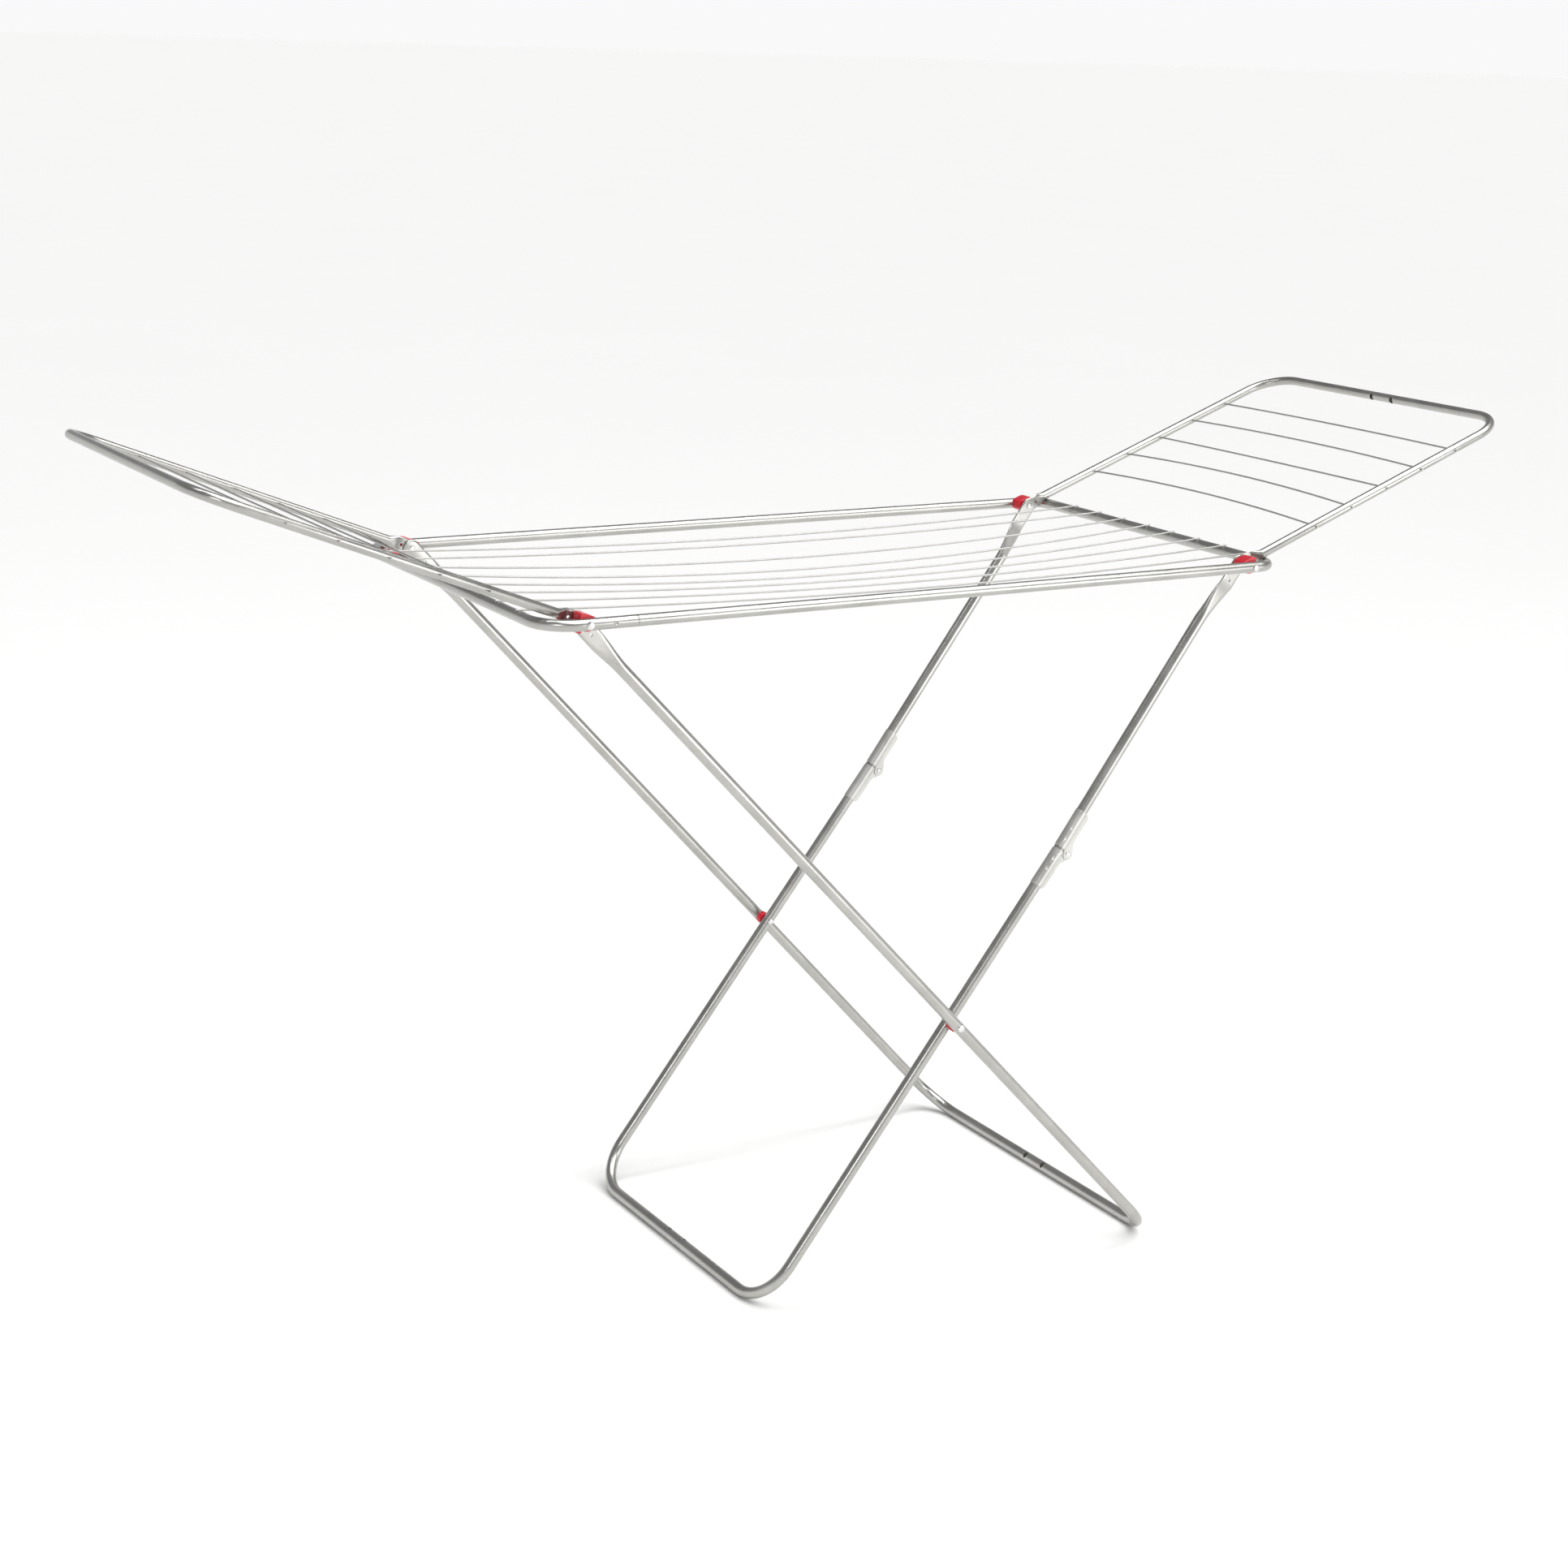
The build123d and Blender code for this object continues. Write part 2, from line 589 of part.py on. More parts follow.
# ---------------------------------------------------------------- knee brackets
def knee_bracket(angle, toward, half, side, plates):
    """Sheet wrapped round a leg tube, closed into a fin with an ear for the knee pin."""
    a = radians(angle)
    run = (cos(a) * toward, side * INNER_SPLAY * toward, sin(a) * toward)
    first = along(SPLIT, angle, toward * BRACKET_START)
    outer_r = LEG_R + BRACKET_T
    start_half = half + toward * BRACKET_START * INNER_SPLAY
    sleeve = Plane(origin=(first[0], side * start_half, first[1]), z_dir=run)

    def place(distance, offset):
        """Distance along the tube away from the split, offset towards the pin."""
        return along(SPLIT, angle, toward * distance, -offset)

    with BuildPart() as bracket:
        with BuildSketch(sleeve):
            Circle(outer_r)
        extrude(amount=BRACKET_LENGTH)
        for low, high in plates:
            base = Plane(origin=(0, side * half + low, 0), x_dir=(1, 0, 0), z_dir=(0, -1, 0))
            corners = [
                place(BRACKET_START, 0),
                place(BRACKET_START + BRACKET_LENGTH, 0),
                place(BRACKET_START + BRACKET_LENGTH, LEG_R + 2),
                place(BRACKET_START + BRACKET_LENGTH - 6, FIN_REACH),
                place(BRACKET_START + 8, FIN_REACH),
                place(BRACKET_START, FIN_REACH - 2),
            ]
            with BuildSketch(base):
                with BuildLine():
                    Polyline(*corners, close=True)
                make_face()
            extrude(amount=low - high)
            with BuildSketch(base):
                with BuildLine():
                    Polyline(
                        KNEE,
                        place(EAR_R * 1.6, KNEE_OFFSET + EAR_R * 0.55),
                        place(BRACKET_START + 14, FIN_REACH - 1),
                        place(BRACKET_START + 3, LEG_R + 1.6),
                        close=True,
                    )
                make_face()
                with Locations(KNEE):
                    Circle(EAR_R)
            extrude(amount=low - high)
        with BuildSketch(sleeve):
            Circle(LEG_R + SEAT_FIT)
        extrude(amount=BRACKET_LENGTH, mode=Mode.SUBTRACT)
        for crimp in CRIMP_PLACES:
            lift = outer_r + CRIMP_R - CRIMP_DEPTH
            spot = place(BRACKET_START + crimp, -lift * sin(radians(CRIMP_TURN)))
            with Locations((spot[0], side * (half + lift * cos(radians(CRIMP_TURN))), spot[1])):
                Sphere(CRIMP_R, mode=Mode.SUBTRACT)
        add(cross_bore(KNEE, HOLE_R, side * half - 6, side * half + 6), mode=Mode.SUBTRACT)
    return bracket.part


CLEVIS_GAP = 1.5        # half the gap between the upper bracket's two plates
CLEVIS_T = 1.0
TONGUE_HALF = 1.2       # half the lower bracket's closed plate
for side_name, side in SIDES.items():
    clevis = [(CLEVIS_GAP, CLEVIS_GAP + CLEVIS_T), (-CLEVIS_GAP - CLEVIS_T, -CLEVIS_GAP)]
    tongue = [(-TONGUE_HALF, TONGUE_HALF)]
    finish(knee_bracket(UPPER_ANGLE, -1, knee_half, side, clevis), f"knee_bracket_upper_{side_name}")
    finish(knee_bracket(LOWER_ANGLE, 1, knee_half, side, tongue), f"knee_bracket_lower_{side_name}")


def knee_rivet(side):
    """Rivet through the knee's clevis and tongue, with a domed head on both faces."""
    middle = side * knee_half
    shank = CLEVIS_GAP + CLEVIS_T
    with BuildPart() as rivet:
        add(cross_bore(KNEE, RIVET_D / 2, middle - shank - 1, middle + shank + 1))
        add(cross_bore(KNEE, 4.4, middle + shank, middle + shank + 1.4))
        add(cross_bore(KNEE, 4.4, middle - shank - 1.4, middle - shank))
    return rivet.part


finish(Compound(children=[knee_rivet(side) for side in SIDES.values()]), "knee_rivets")

print("knee", KNEE, "crossing", CROSS)
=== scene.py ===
from math import asin, atan2, cos, hypot, pi, radians, sin, sqrt, tan

import bpy
from mathutils import Matrix, Vector


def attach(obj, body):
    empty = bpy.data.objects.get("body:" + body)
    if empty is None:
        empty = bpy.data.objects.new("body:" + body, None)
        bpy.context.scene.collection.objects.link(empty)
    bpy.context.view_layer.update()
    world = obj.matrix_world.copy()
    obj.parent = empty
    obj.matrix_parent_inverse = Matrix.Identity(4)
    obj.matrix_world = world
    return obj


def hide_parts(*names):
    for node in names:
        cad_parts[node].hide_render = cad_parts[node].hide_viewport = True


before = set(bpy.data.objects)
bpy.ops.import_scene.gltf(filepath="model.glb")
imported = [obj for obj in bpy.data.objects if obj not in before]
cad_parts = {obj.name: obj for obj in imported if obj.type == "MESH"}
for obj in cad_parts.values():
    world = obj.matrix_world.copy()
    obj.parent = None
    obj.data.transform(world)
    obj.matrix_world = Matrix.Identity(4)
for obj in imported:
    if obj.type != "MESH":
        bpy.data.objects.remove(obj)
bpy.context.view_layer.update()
MM = 0.001

# ---------------------------------------------------------------- sizes of the rack, metres
RAIL_R = 7.0 * MM
LEG_R = 7.5 * MM
WING_R = 6.0 * MM
WIRE_R = 1.25 * MM
TUBE_WALL = 0.8 * MM

RAIL_HEIGHT = 913.0 * MM
PIVOT_HALF = 479.0 * MM
RAIL_HALF = 258.0 * MM
LEFT_END_X = -532.0 * MM
RIGHT_END_X = 517.0 * MM
LEFT_CORNER_R = 44.0 * MM
RIGHT_CORNER_R = 28.0 * MM
RAIL_JOINT_X = -418.0 * MM
RAIL_JOINT_GAP = 0.6 * MM
DIMPLE_X = -447.0 * MM

OUTER_FOOT_X = 390.7 * MM
OUTER_TOP_HALF = 225.5 * MM
OUTER_FOOT_HALF = 259.0 * MM
OUTER_FOOT_R = 52.0 * MM
INNER_FOOT_X = -196.4 * MM
INNER_TOP_HALF = 221.5 * MM
INNER_FOOT_HALF = 225.0 * MM
INNER_FOOT_R = 60.0 * MM
SPLIT = (223.8 * MM, 557.5 * MM)
KNEE_OFFSET = 16.0 * MM
BUTT_GAP = 0.6 * MM
OPEN_END_DEPTH = 40.0 * MM      # how deep the open tube ends at the knee are modelled

WING_ANGLE = radians(20.8)
WING_REACH = 475.0 * MM
WING_HALF = 237.9 * MM
WING_CORNER_R = 52.0 * MM
# place along the wing, and how far the wire bows towards the end bar
WING_WIRES = ((122.0, 13.0), (185.0, 13.0), (248.0, 2.0), (310.5, 8.0), (373.5, 4.0))
WING_WIRE_POKE = 3.5 * MM

FRAME_WIRE_PITCH = 54.0 * MM
FRAME_WIRE_FIRST_RIGHT = 170.0 * MM
FRAME_WIRE_FIRST_LEFT = 186.0 * MM
FRAME_WIRE_SAGS = (14.0, 12.0, 22.0, 26.0, 24.0, 20.0, 16.0, 12.0)
FRAME_WIRE_POKE = 4.0 * MM
WIRE_SEAT = 0.6 * MM

PLATE_HALF_T = 1.2 * MM
LEG_PLATE_MID = 230.4 * MM
LEG_PLATE_HALF_W = 11.0 * MM
LEG_FLAT = 34.0 * MM
LEG_TAPER = 52.0 * MM
LEG_DRAIN = 26.0 * MM
WING_PLATE_MID = 233.1 * MM
WING_PLATE_HALF_W = 9.4 * MM
WING_FLAT = 18.0 * MM
WING_TAPER = 14.0 * MM
WING_DRAIN = 14.0 * MM
DRAIN_HOLE_R = 2.0 * MM
DRILL_REACH = 4.0 * MM      # how far a drain drill goes past the middle of a plate, each way
PAIR_HOLE_R = 2.5 * MM
PAIR_HOLE_HALF = 20.0 * MM

RIVET_R = 3.0 * MM
RIVET_HEAD_R = 4.75 * MM
RIVET_TAIL_R = 4.2 * MM
RIVET_TAIL_T = 1.4 * MM
LEG_PLATE_IN = 229.2 * MM
CROSS_SPACER_R = 8.5 * MM
BRACKET_T = 0.8 * MM
SHEET_EDGE = 0.25 * MM      # rounding of a bracket's ends
SLEEVE_FIT = 0.03 * MM      # room between a bracket and its tube
BRACKET_LENGTH = 54.0 * MM
BRACKET_START = 2.0 * MM
EAR_R = 7.0 * MM
CLEVIS_GAP = 1.5 * MM
CLEVIS_T = 1.0 * MM
TONGUE_HALF = 1.2 * MM
CRIMP_PLACES = (15.0 * MM, 30.5 * MM)
CRIMP_TURN = radians(35)
SPACER_IN = 234.6 * MM
SPACER_OUT = 254.5 * MM
STOP_DROP = 9.7 * MM
STOP_T = 4.0 * MM
STOP_FROM = -3.0 * MM
STOP_START = 13.0 * MM
STOP_TO = 24.0 * MM

TUBE_SIDES = 32
WIRE_SIDES = 12
WASHER_SIDES = 40
BEND_STEPS = 14
SIDES = {"front": -1, "rear": 1}
ENDS = {"left": -1, "right": 1}

# ---------------------------------------------------------------- places worked out from them
LEFT_PIVOT = (-PIVOT_HALF, RAIL_HEIGHT)
RIGHT_PIVOT = (PIVOT_HALF, RAIL_HEIGHT)
OUTER_FOOT = (OUTER_FOOT_X, LEG_R)
INNER_FOOT = (INNER_FOOT_X, LEG_R)


def slope(start, end):
    """Angle above +X of the line between two (x, z) places."""
    return atan2(end[1] - start[1], end[0] - start[0])


def gap(start, end):
    return hypot(end[0] - start[0], end[1] - start[1])


OUTER_ANGLE = slope(LEFT_PIVOT, OUTER_FOOT)
UPPER_ANGLE = slope(RIGHT_PIVOT, SPLIT)
LOWER_ANGLE = slope(SPLIT, INNER_FOOT)
OUTER_LENGTH = gap(LEFT_PIVOT, OUTER_FOOT)
UPPER_LENGTH = gap(RIGHT_PIVOT, SPLIT)
LOWER_LENGTH = gap(SPLIT, INNER_FOOT)
OUTER_SPLAY = (OUTER_FOOT_HALF - OUTER_TOP_HALF) / OUTER_LENGTH
INNER_SPLAY = (INNER_FOOT_HALF - INNER_TOP_HALF) / (UPPER_LENGTH + LOWER_LENGTH)
KNEE_HALF = INNER_TOP_HALF + INNER_SPLAY * UPPER_LENGTH
KNEE = (SPLIT[0] - KNEE_OFFSET * sin(LOWER_ANGLE), SPLIT[1] + KNEE_OFFSET * cos(LOWER_ANGLE))


def crossing():
    """Where the two leg frames cross, as (x, z), with the reach along each leg."""
    dx, dz = SPLIT[0] - LEFT_PIVOT[0], SPLIT[1] - LEFT_PIVOT[1]
    a, b = OUTER_ANGLE, LOWER_ANGLE
    reach = (dx * sin(b) - dz * cos(b)) / (cos(a) * sin(b) - sin(a) * cos(b))
    place = (LEFT_PIVOT[0] + reach * cos(a), LEFT_PIVOT[1] + reach * sin(a))
    return place, reach, gap(SPLIT, place)


CROSS, OUTER_CROSS_REACH, INNER_CROSS_REACH = crossing()
OUTER_MID = OUTER_TOP_HALF + OUTER_SPLAY * OUTER_CROSS_REACH
INNER_MID = INNER_TOP_HALF + INNER_SPLAY * (UPPER_LENGTH + INNER_CROSS_REACH)


def leaning(place, angle):
    """The working frame of a leg or wing: its X runs along the piece, Y across the rack."""
    return Matrix.Translation((place[0], 0, place[1])) @ Matrix.Rotation(-angle, 4, "Y")


# ---------------------------------------------------------------- modelling by hand
def start_ring(name, place, facing, radius, sides=TUBE_SIDES):
    """A round disc to extrude from; leaves edit mode on, with the disc selected."""
    bpy.ops.object.select_all(action="DESELECT")
    turn = Vector(facing).to_track_quat("Z", "Y").to_euler()
    bpy.ops.mesh.primitive_circle_add(
        vertices=sides, radius=radius, fill_type="NGON", location=place, rotation=turn
    )
    piece = bpy.context.object
    piece.name = name
    bpy.ops.object.transform_apply(location=True, rotation=True, scale=True)
    bpy.ops.object.mode_set(mode="EDIT")
    bpy.ops.mesh.select_all(action="SELECT")
    return piece


def push(step):
    bpy.ops.mesh.extrude_region_move(TRANSFORM_OT_translate={"value": tuple(step)})


def squeeze(factors, centre):
    bpy.ops.transform.resize(value=factors, center_override=tuple(centre))


def follow(points, radii, steps=BEND_STEPS):
    """Extrudes the selected end along straight runs, and spins it round the bends between them."""
    here = Vector(points[0])
    for index in range(1, len(points)):
        corner = Vector(points[index])
        if index == len(points) - 1:
            push(corner - here)
            return
        inward = (corner - Vector(points[index - 1])).normalized()
        outward = (Vector(points[index + 1]) - corner).normalized()
        angle = inward.angle(outward)
        radius = radii[index - 1]
        begin = corner - inward * radius * tan(angle / 2)
        push(begin - here)
        axis = inward.cross(outward).normalized()
        centre = begin + axis.cross(inward) * radius
        bpy.ops.mesh.spin(steps=steps, angle=-angle, center=centre, axis=axis)
        here = corner + outward * radius * tan(angle / 2)


def close_up(piece, frame_of_piece=None, smooth=35):
    """Ends the modelling of a piece: normals out, smooth shading, and its place put in its mesh."""
    bpy.ops.mesh.select_all(action="SELECT")
    bpy.ops.mesh.normals_make_consistent(inside=False)
    bpy.ops.object.mode_set(mode="OBJECT")
    bpy.ops.object.shade_smooth_by_angle(angle=radians(smooth))
    if frame_of_piece is not None:
        piece.matrix_world = frame_of_piece
        bpy.ops.object.transform_apply(location=True, rotation=True, scale=True)
    return piece


def choose(piece, wanted):
    """Selects the vertices whose place meets a test; returns how many."""
    bpy.ops.mesh.select_all(action="DESELECT")
    bpy.ops.object.mode_set(mode="OBJECT")
    found = 0
    for vertex in piece.data.vertices:
        vertex.select = wanted(vertex.co)
        found += vertex.select
    bpy.ops.object.mode_set(mode="EDIT")
    return found


def carve(piece, tool):
    """Cuts one closed shape out of a piece."""
    bpy.ops.object.select_all(action="DESELECT")
    piece.select_set(True)
    bpy.context.view_layer.objects.active = piece
    cut = piece.modifiers.new("cut", "BOOLEAN")
    cut.operation = "DIFFERENCE"
    cut.solver = "EXACT"
    cut.object = tool
    bpy.ops.object.modifier_apply(modifier="cut")
    bpy.data.objects.remove(tool)
    bpy.ops.object.shade_smooth_by_angle(angle=radians(35))


def smooth_step(share):
    return share * share * (3 - 2 * share)


# distance from the pivot, half thickness, half width, and the middle across the rack, of each
# section of a pressed end, from its rounded tip to the round tube
def pressed_sections(plate_mid, half_width, flat, taper, tube_half, radius):
    sections = []
    tip_steps = 7
    for step in range(tip_steps):
        turn = pi / 2 * (step + 0.6) / (tip_steps - 0.4)
        sections.append((-half_width * cos(turn), PLATE_HALF_T, half_width * sin(turn), plate_mid))
    flat_steps = 4
    for step in range(1, flat_steps + 1):
        sections.append((flat * step / flat_steps, PLATE_HALF_T, half_width, plate_mid))
    taper_steps = 9
    for step in range(1, taper_steps + 1):
        share = step / taper_steps
        eased = smooth_step(share)
        sections.append((
            flat + taper * share,
            PLATE_HALF_T + (radius - PLATE_HALF_T) * share ** 1.3,
            half_width + (radius - half_width) * eased,
            plate_mid + (tube_half - plate_mid) * share ** 0.7,
        ))
    return sections


def underlying(half_thickness, radius):
    """Half thickness of the oval that is pressed down to half_thickness."""
    share = (half_thickness - PLATE_HALF_T) / (radius - PLATE_HALF_T)
    return half_thickness / (0.55 + 0.45 * sqrt(max(share, 0)))


def go_through(sections, side, radius, current):
    """Extrudes the selected ring through sections; current is the ring's (x, oval, width, middle)."""
    x, oval, width, middle = current
    for next_x, thickness, next_width, next_middle in sections:
        next_oval = underlying(thickness, radius)
        push((next_x - x, side * (next_middle - middle), 0))
        centre = (next_x, side * next_middle, 0)
        squeeze((1, next_oval / oval, next_width / width), centre)
        x, oval, width, middle = next_x, next_oval, next_width, next_middle
    return x, oval, width, middle


def press_flat(piece, sections, side):
    """Flattens both faces of a pressed end, section by section."""
    for x, thickness, _, middle in sections:
        for face in (-1, 1):
            level = side * middle + face * thickness

            def beyond(co):
                return abs(co.x - x) < 1e-5 and co.y * side > 0 and (co.y - level) * face > 1e-7

            if choose(piece, beyond):
                squeeze((1, 0, 1), (x, level, 0))


def pocket(name, place, facing, radius, wall, depth):
    """Tool for a hole through a tube's wall, with the tube's dark inside behind it."""
    way = Vector(facing).normalized()
    tool = start_ring(name, Vector(place) + way * wall, -way, radius, 20)
    push(-way * wall * 3)
    squeeze((1.9, 1.9, 1.9), Vector(place) - way * wall * 2)
    push(-way * depth)
    return close_up(tool)


# ---------------------------------------------------------------- colour and materials
def srgb(code):
    """A hex colour turned to linear light."""
    parts = [int(code[place:place + 2], 16) / 255 for place in (1, 3, 5)]
    linear = [p / 12.92 if p <= 0.04045 else ((p + 0.055) / 1.055) ** 2.4 for p in parts]
    return (*linear, 1.0)


def add_node(tree, kind, settings, links):
    """One node with its settings; links are (socket it feeds on this node, node, output)."""
    node = tree.nodes.new(kind)
    for name, value in settings.items():
        if isinstance(name, int) or name in node.inputs:
            node.inputs[name].default_value = value
        else:
            setattr(node, name, value)
    for socket, source, output in links:
        tree.links.new(source.outputs[output], node.inputs[socket])
    return node


def new_material(name):
    made = bpy.data.materials.new(name)
    made.use_nodes = True
    made.node_tree.nodes.clear()
    return made, made.node_tree


def coated_metal(name, light, dark, metallic, roughness, spread, grain_mm, grain_depth):
    """Metal or metallic paint: grain, slow patches of tone, and roughness that follows them."""
    made, tree = new_material(name)
    where = add_node(tree, "ShaderNodeTexCoord", {}, [])
    grain = add_node(tree, "ShaderNodeTexNoise",
                     {"Scale": 1 / (grain_mm * MM), "Detail": 2.0, "Roughness": 0.6},
                     [("Vector", where, "Object")])
    patches = add_node(tree, "ShaderNodeTexNoise",
                       {"Scale": 1 / (45 * MM), "Detail": 3.0, "Roughness": 0.55},
                       [("Vector", where, "Object")])
    mix = add_node(tree, "ShaderNodeMath", {"operation": "MULTIPLY_ADD", 1: 0.35},
                   [(0, grain, "Fac"), (2, patches, "Fac")])
    tone = add_node(tree, "ShaderNodeValToRGB", {}, [("Fac", mix, "Value")])
    tone.color_ramp.elements[0].position = 0.45
    tone.color_ramp.elements[0].color = srgb(dark)
    tone.color_ramp.elements[1].position = 0.85
    tone.color_ramp.elements[1].color = srgb(light)
    rough = add_node(tree, "ShaderNodeMapRange",
                     {"From Min": 0.35, "From Max": 0.65, "To Min": roughness - spread,
                      "To Max": roughness + spread},
                     [("Value", patches, "Fac")])
    bump = add_node(tree, "ShaderNodeBump", {"Strength": 0.06, "Distance": grain_depth * MM},
                    [("Height", grain, "Fac")])
    shader = add_node(tree, "ShaderNodeBsdfPrincipled", {"Metallic": metallic},
                      [("Base Color", tone, "Color"), ("Roughness", rough, "Result"),
                       ("Normal", bump, "Normal")])
    add_node(tree, "ShaderNodeOutputMaterial", {}, [("Surface", shader, "BSDF")])
    return made


def moulded_plastic(name, colour, shade, roughness):
    """Injection-moulded plastic: even colour, a faint mould texture, a clear gloss."""
    made, tree = new_material(name)
    where = add_node(tree, "ShaderNodeTexCoord", {}, [])
    skin = add_node(tree, "ShaderNodeTexNoise", {"Scale": 1 / (1.5 * MM), "Detail": 2.0},
                    [("Vector", where, "Object")])
    cloud = add_node(tree, "ShaderNodeTexNoise", {"Scale": 1 / (14 * MM), "Detail": 2.0},
                     [("Vector", where, "Object")])
    tone = add_node(tree, "ShaderNodeMix", {"data_type": "RGBA", 6: srgb(shade), 7: srgb(colour)},
                    [(0, cloud, "Fac")])
    bump = add_node(tree, "ShaderNodeBump", {"Strength": 0.2, "Distance": 0.05 * MM},
                    [("Height", skin, "Fac")])
    shader = add_node(tree, "ShaderNodeBsdfPrincipled",
                      {"Roughness": roughness, "IOR": 1.49, "Coat Weight": 0.25,
                       "Coat Roughness": 0.12},
                      [("Base Color", tone, 2), ("Normal", bump, "Normal")])
    add_node(tree, "ShaderNodeOutputMaterial", {}, [("Surface", shader, "BSDF")])
    return made


# Silver-grey metallic powder coat on steel tube, sprayed and baked: a satin sheen with a soft
# bright line along the tube, slightly cloudy where the flakes lie unevenly.
FRAME_COAT = coated_metal("silver_powder_coat_frame", "#B6B5B1", "#A9A8A4", 0.9, 0.27, 0.03, 1.1, 0.03)
WING_COAT = coated_metal("silver_powder_coat_wing", "#B4B3AF", "#A7A6A2", 0.9, 0.28, 0.03, 1.1, 0.03)
LEG_COAT = coated_metal("silver_powder_coat_leg", "#B9B8B4", "#ABAAA6", 0.9, 0.27, 0.03, 1.1, 0.03)
# Grey lacquer on drawn steel wire: even and a little duller than the tubes.
WIRE_COAT = coated_metal("grey_lacquered_wire", "#B2B1AE", "#A3A29F", 0.85, 0.34, 0.03, 2.0, 0.02)
# Pressed sheet steel under the same coat, its colour set paler than the tubes' as a painted highlight
# standing in for the brighter light on its flat faces.
BRACKET_COAT = coated_metal("powder_coated_sheet", "#CBCAC6", "#BDBCB8", 0.8, 0.32, 0.04, 1.4, 0.04)
# Zinc-plated rivet steel: bright, with the fine marks of the rivet set.
RIVET_STEEL = coated_metal("zinc_plated_rivet", "#E4E4E2", "#C9C9C7", 1.0, 0.2, 0.05, 0.9, 0.05)
# Red polypropylene, injection moulded: saturated, with a soft waxy gloss.
RED_PLASTIC = moulded_plastic("red_moulded_polypropylene", "#D3122A", "#B30E22", 0.28)


def join_rack(piece, body, slot, coat, *nodes):
    """Rides a finished piece on its body, gives it its finish, and hides the nodes it stands for."""
    piece.data.materials.clear()
    piece.data.materials.append(coat)
    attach(piece, body)
    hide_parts(*nodes)


# ---------------------------------------------------------------- camera, light and floor
def set_camera():
    """A long lens a little above the rack, in front of its left end."""
    azimuth, elevation, roll = radians(30.638), radians(-14.324), radians(1.961)
    ahead = Vector((sin(azimuth) * cos(elevation), cos(azimuth) * cos(elevation), sin(elevation)))
    level = ahead.cross(Vector((0, 0, 1))).normalized()
    upright = level.cross(ahead)
    right = level * cos(roll) + upright * sin(roll)
    up = upright * cos(roll) - level * sin(roll)
    lens = bpy.data.cameras.new("camera")
    lens.lens = 63.479
    lens.sensor_width = 36.0
    lens.shift_x = 0.0282
    lens.shift_y = -0.0319
    lens.clip_start, lens.clip_end = 0.1, 400.0
    camera = bpy.data.objects.new("camera", lens)
    bpy.context.scene.collection.objects.link(camera)
    turned = Matrix((right, up, -ahead)).transposed().to_4x4()
    camera.matrix_world = Matrix.Translation((-1.8650, -2.9373, 1.5623)) @ turned
    bpy.context.scene.camera = camera


def add_panel(name, place, target, size, power, colour="#FFFFFF"):
    """A soft rectangular lamp that faces a target."""
    lamp = bpy.data.lights.new(name, "AREA")
    lamp.shape = "RECTANGLE"
    lamp.size, lamp.size_y = size
    lamp.energy = power
    lamp.color = srgb(colour)[:3]
    holder = bpy.data.objects.new(name, lamp)
    bpy.context.scene.collection.objects.link(holder)
    aim = (Vector(target) - Vector(place)).to_track_quat("-Z", "Y")
    holder.matrix_world = Matrix.Translation(place) @ aim.to_matrix().to_4x4()


def set_world():
    """A pale room: bright round the horizon, greyer overhead, so that tubes keep dark edges."""
    world = bpy.data.worlds.new("studio")
    world.use_nodes = True
    bpy.context.scene.world = world
    tree = world.node_tree
    tree.nodes.clear()
    way = add_node(tree, "ShaderNodeTexCoord", {}, [])
    axes = add_node(tree, "ShaderNodeSeparateXYZ", {}, [("Vector", way, "Generated")])
    height = add_node(tree, "ShaderNodeMapRange",
                      {"interpolation_type": "SMOOTHSTEP", "From Min": 0.08, "From Max": 0.36,
                       "To Min": 1.0, "To Max": 0.24},
                      [("Value", axes, "Z")])
    shade = add_node(tree, "ShaderNodeBackground", {"Color": srgb("#F9F9FA")},
                     [("Strength", height, "Result")])
    add_node(tree, "ShaderNodeOutputWorld", {}, [("Surface", shade, "Background")])
    bpy.context.scene.view_settings.view_transform = "Standard"


def set_stage():
    bpy.ops.object.select_all(action="DESELECT")
    bpy.ops.mesh.primitive_plane_add(size=300, location=(0, 0, 0))
    floor = bpy.context.object
    floor.name = "floor"
    made, tree = new_material("pale_floor")
    where = add_node(tree, "ShaderNodeTexCoord", {}, [])
    cloud = add_node(tree, "ShaderNodeTexNoise", {"Scale": 0.8, "Detail": 1.0},
                     [("Vector", where, "Object")])
    tone = add_node(tree, "ShaderNodeValToRGB", {}, [("Fac", cloud, "Fac")])
    tone.color_ramp.elements[0].color = srgb("#FAFAF9")
    tone.color_ramp.elements[1].color = srgb("#FCFCFB")
    shader = add_node(tree, "ShaderNodeBsdfPrincipled", {"Roughness": 1.0, "Specular IOR Level": 0.0},
                      [("Base Color", tone, "Color")])
    add_node(tree, "ShaderNodeOutputMaterial", {}, [("Surface", shader, "BSDF")])
    floor.data.materials.append(made)
    set_world()
    sun = bpy.data.lights.new("ceiling_light", "SUN")
    sun.energy = 2.45
    sun.angle = radians(60)
    holder = bpy.data.objects.new("ceiling_light", sun)
    bpy.context.scene.collection.objects.link(holder)
    holder.matrix_world = Vector((-0.3, 0.4, -1.0)).to_track_quat("-Z", "Y").to_matrix().to_4x4()
    add_panel("right_softbox", (2.4, -3.8, 1.1), (0.1, 0, 0.6), (1.8, 2.0), 38)
    add_panel("left_softbox", (-3.3, -3.5, 2.5), (0, 0, 0.6), (1.6, 0.9), 26)
    add_panel("overhead_strip", (0.2, 0.2, 3.7), (0.2, 0, 0.7), (5.0, 0.35), 36)


set_camera()
set_stage()


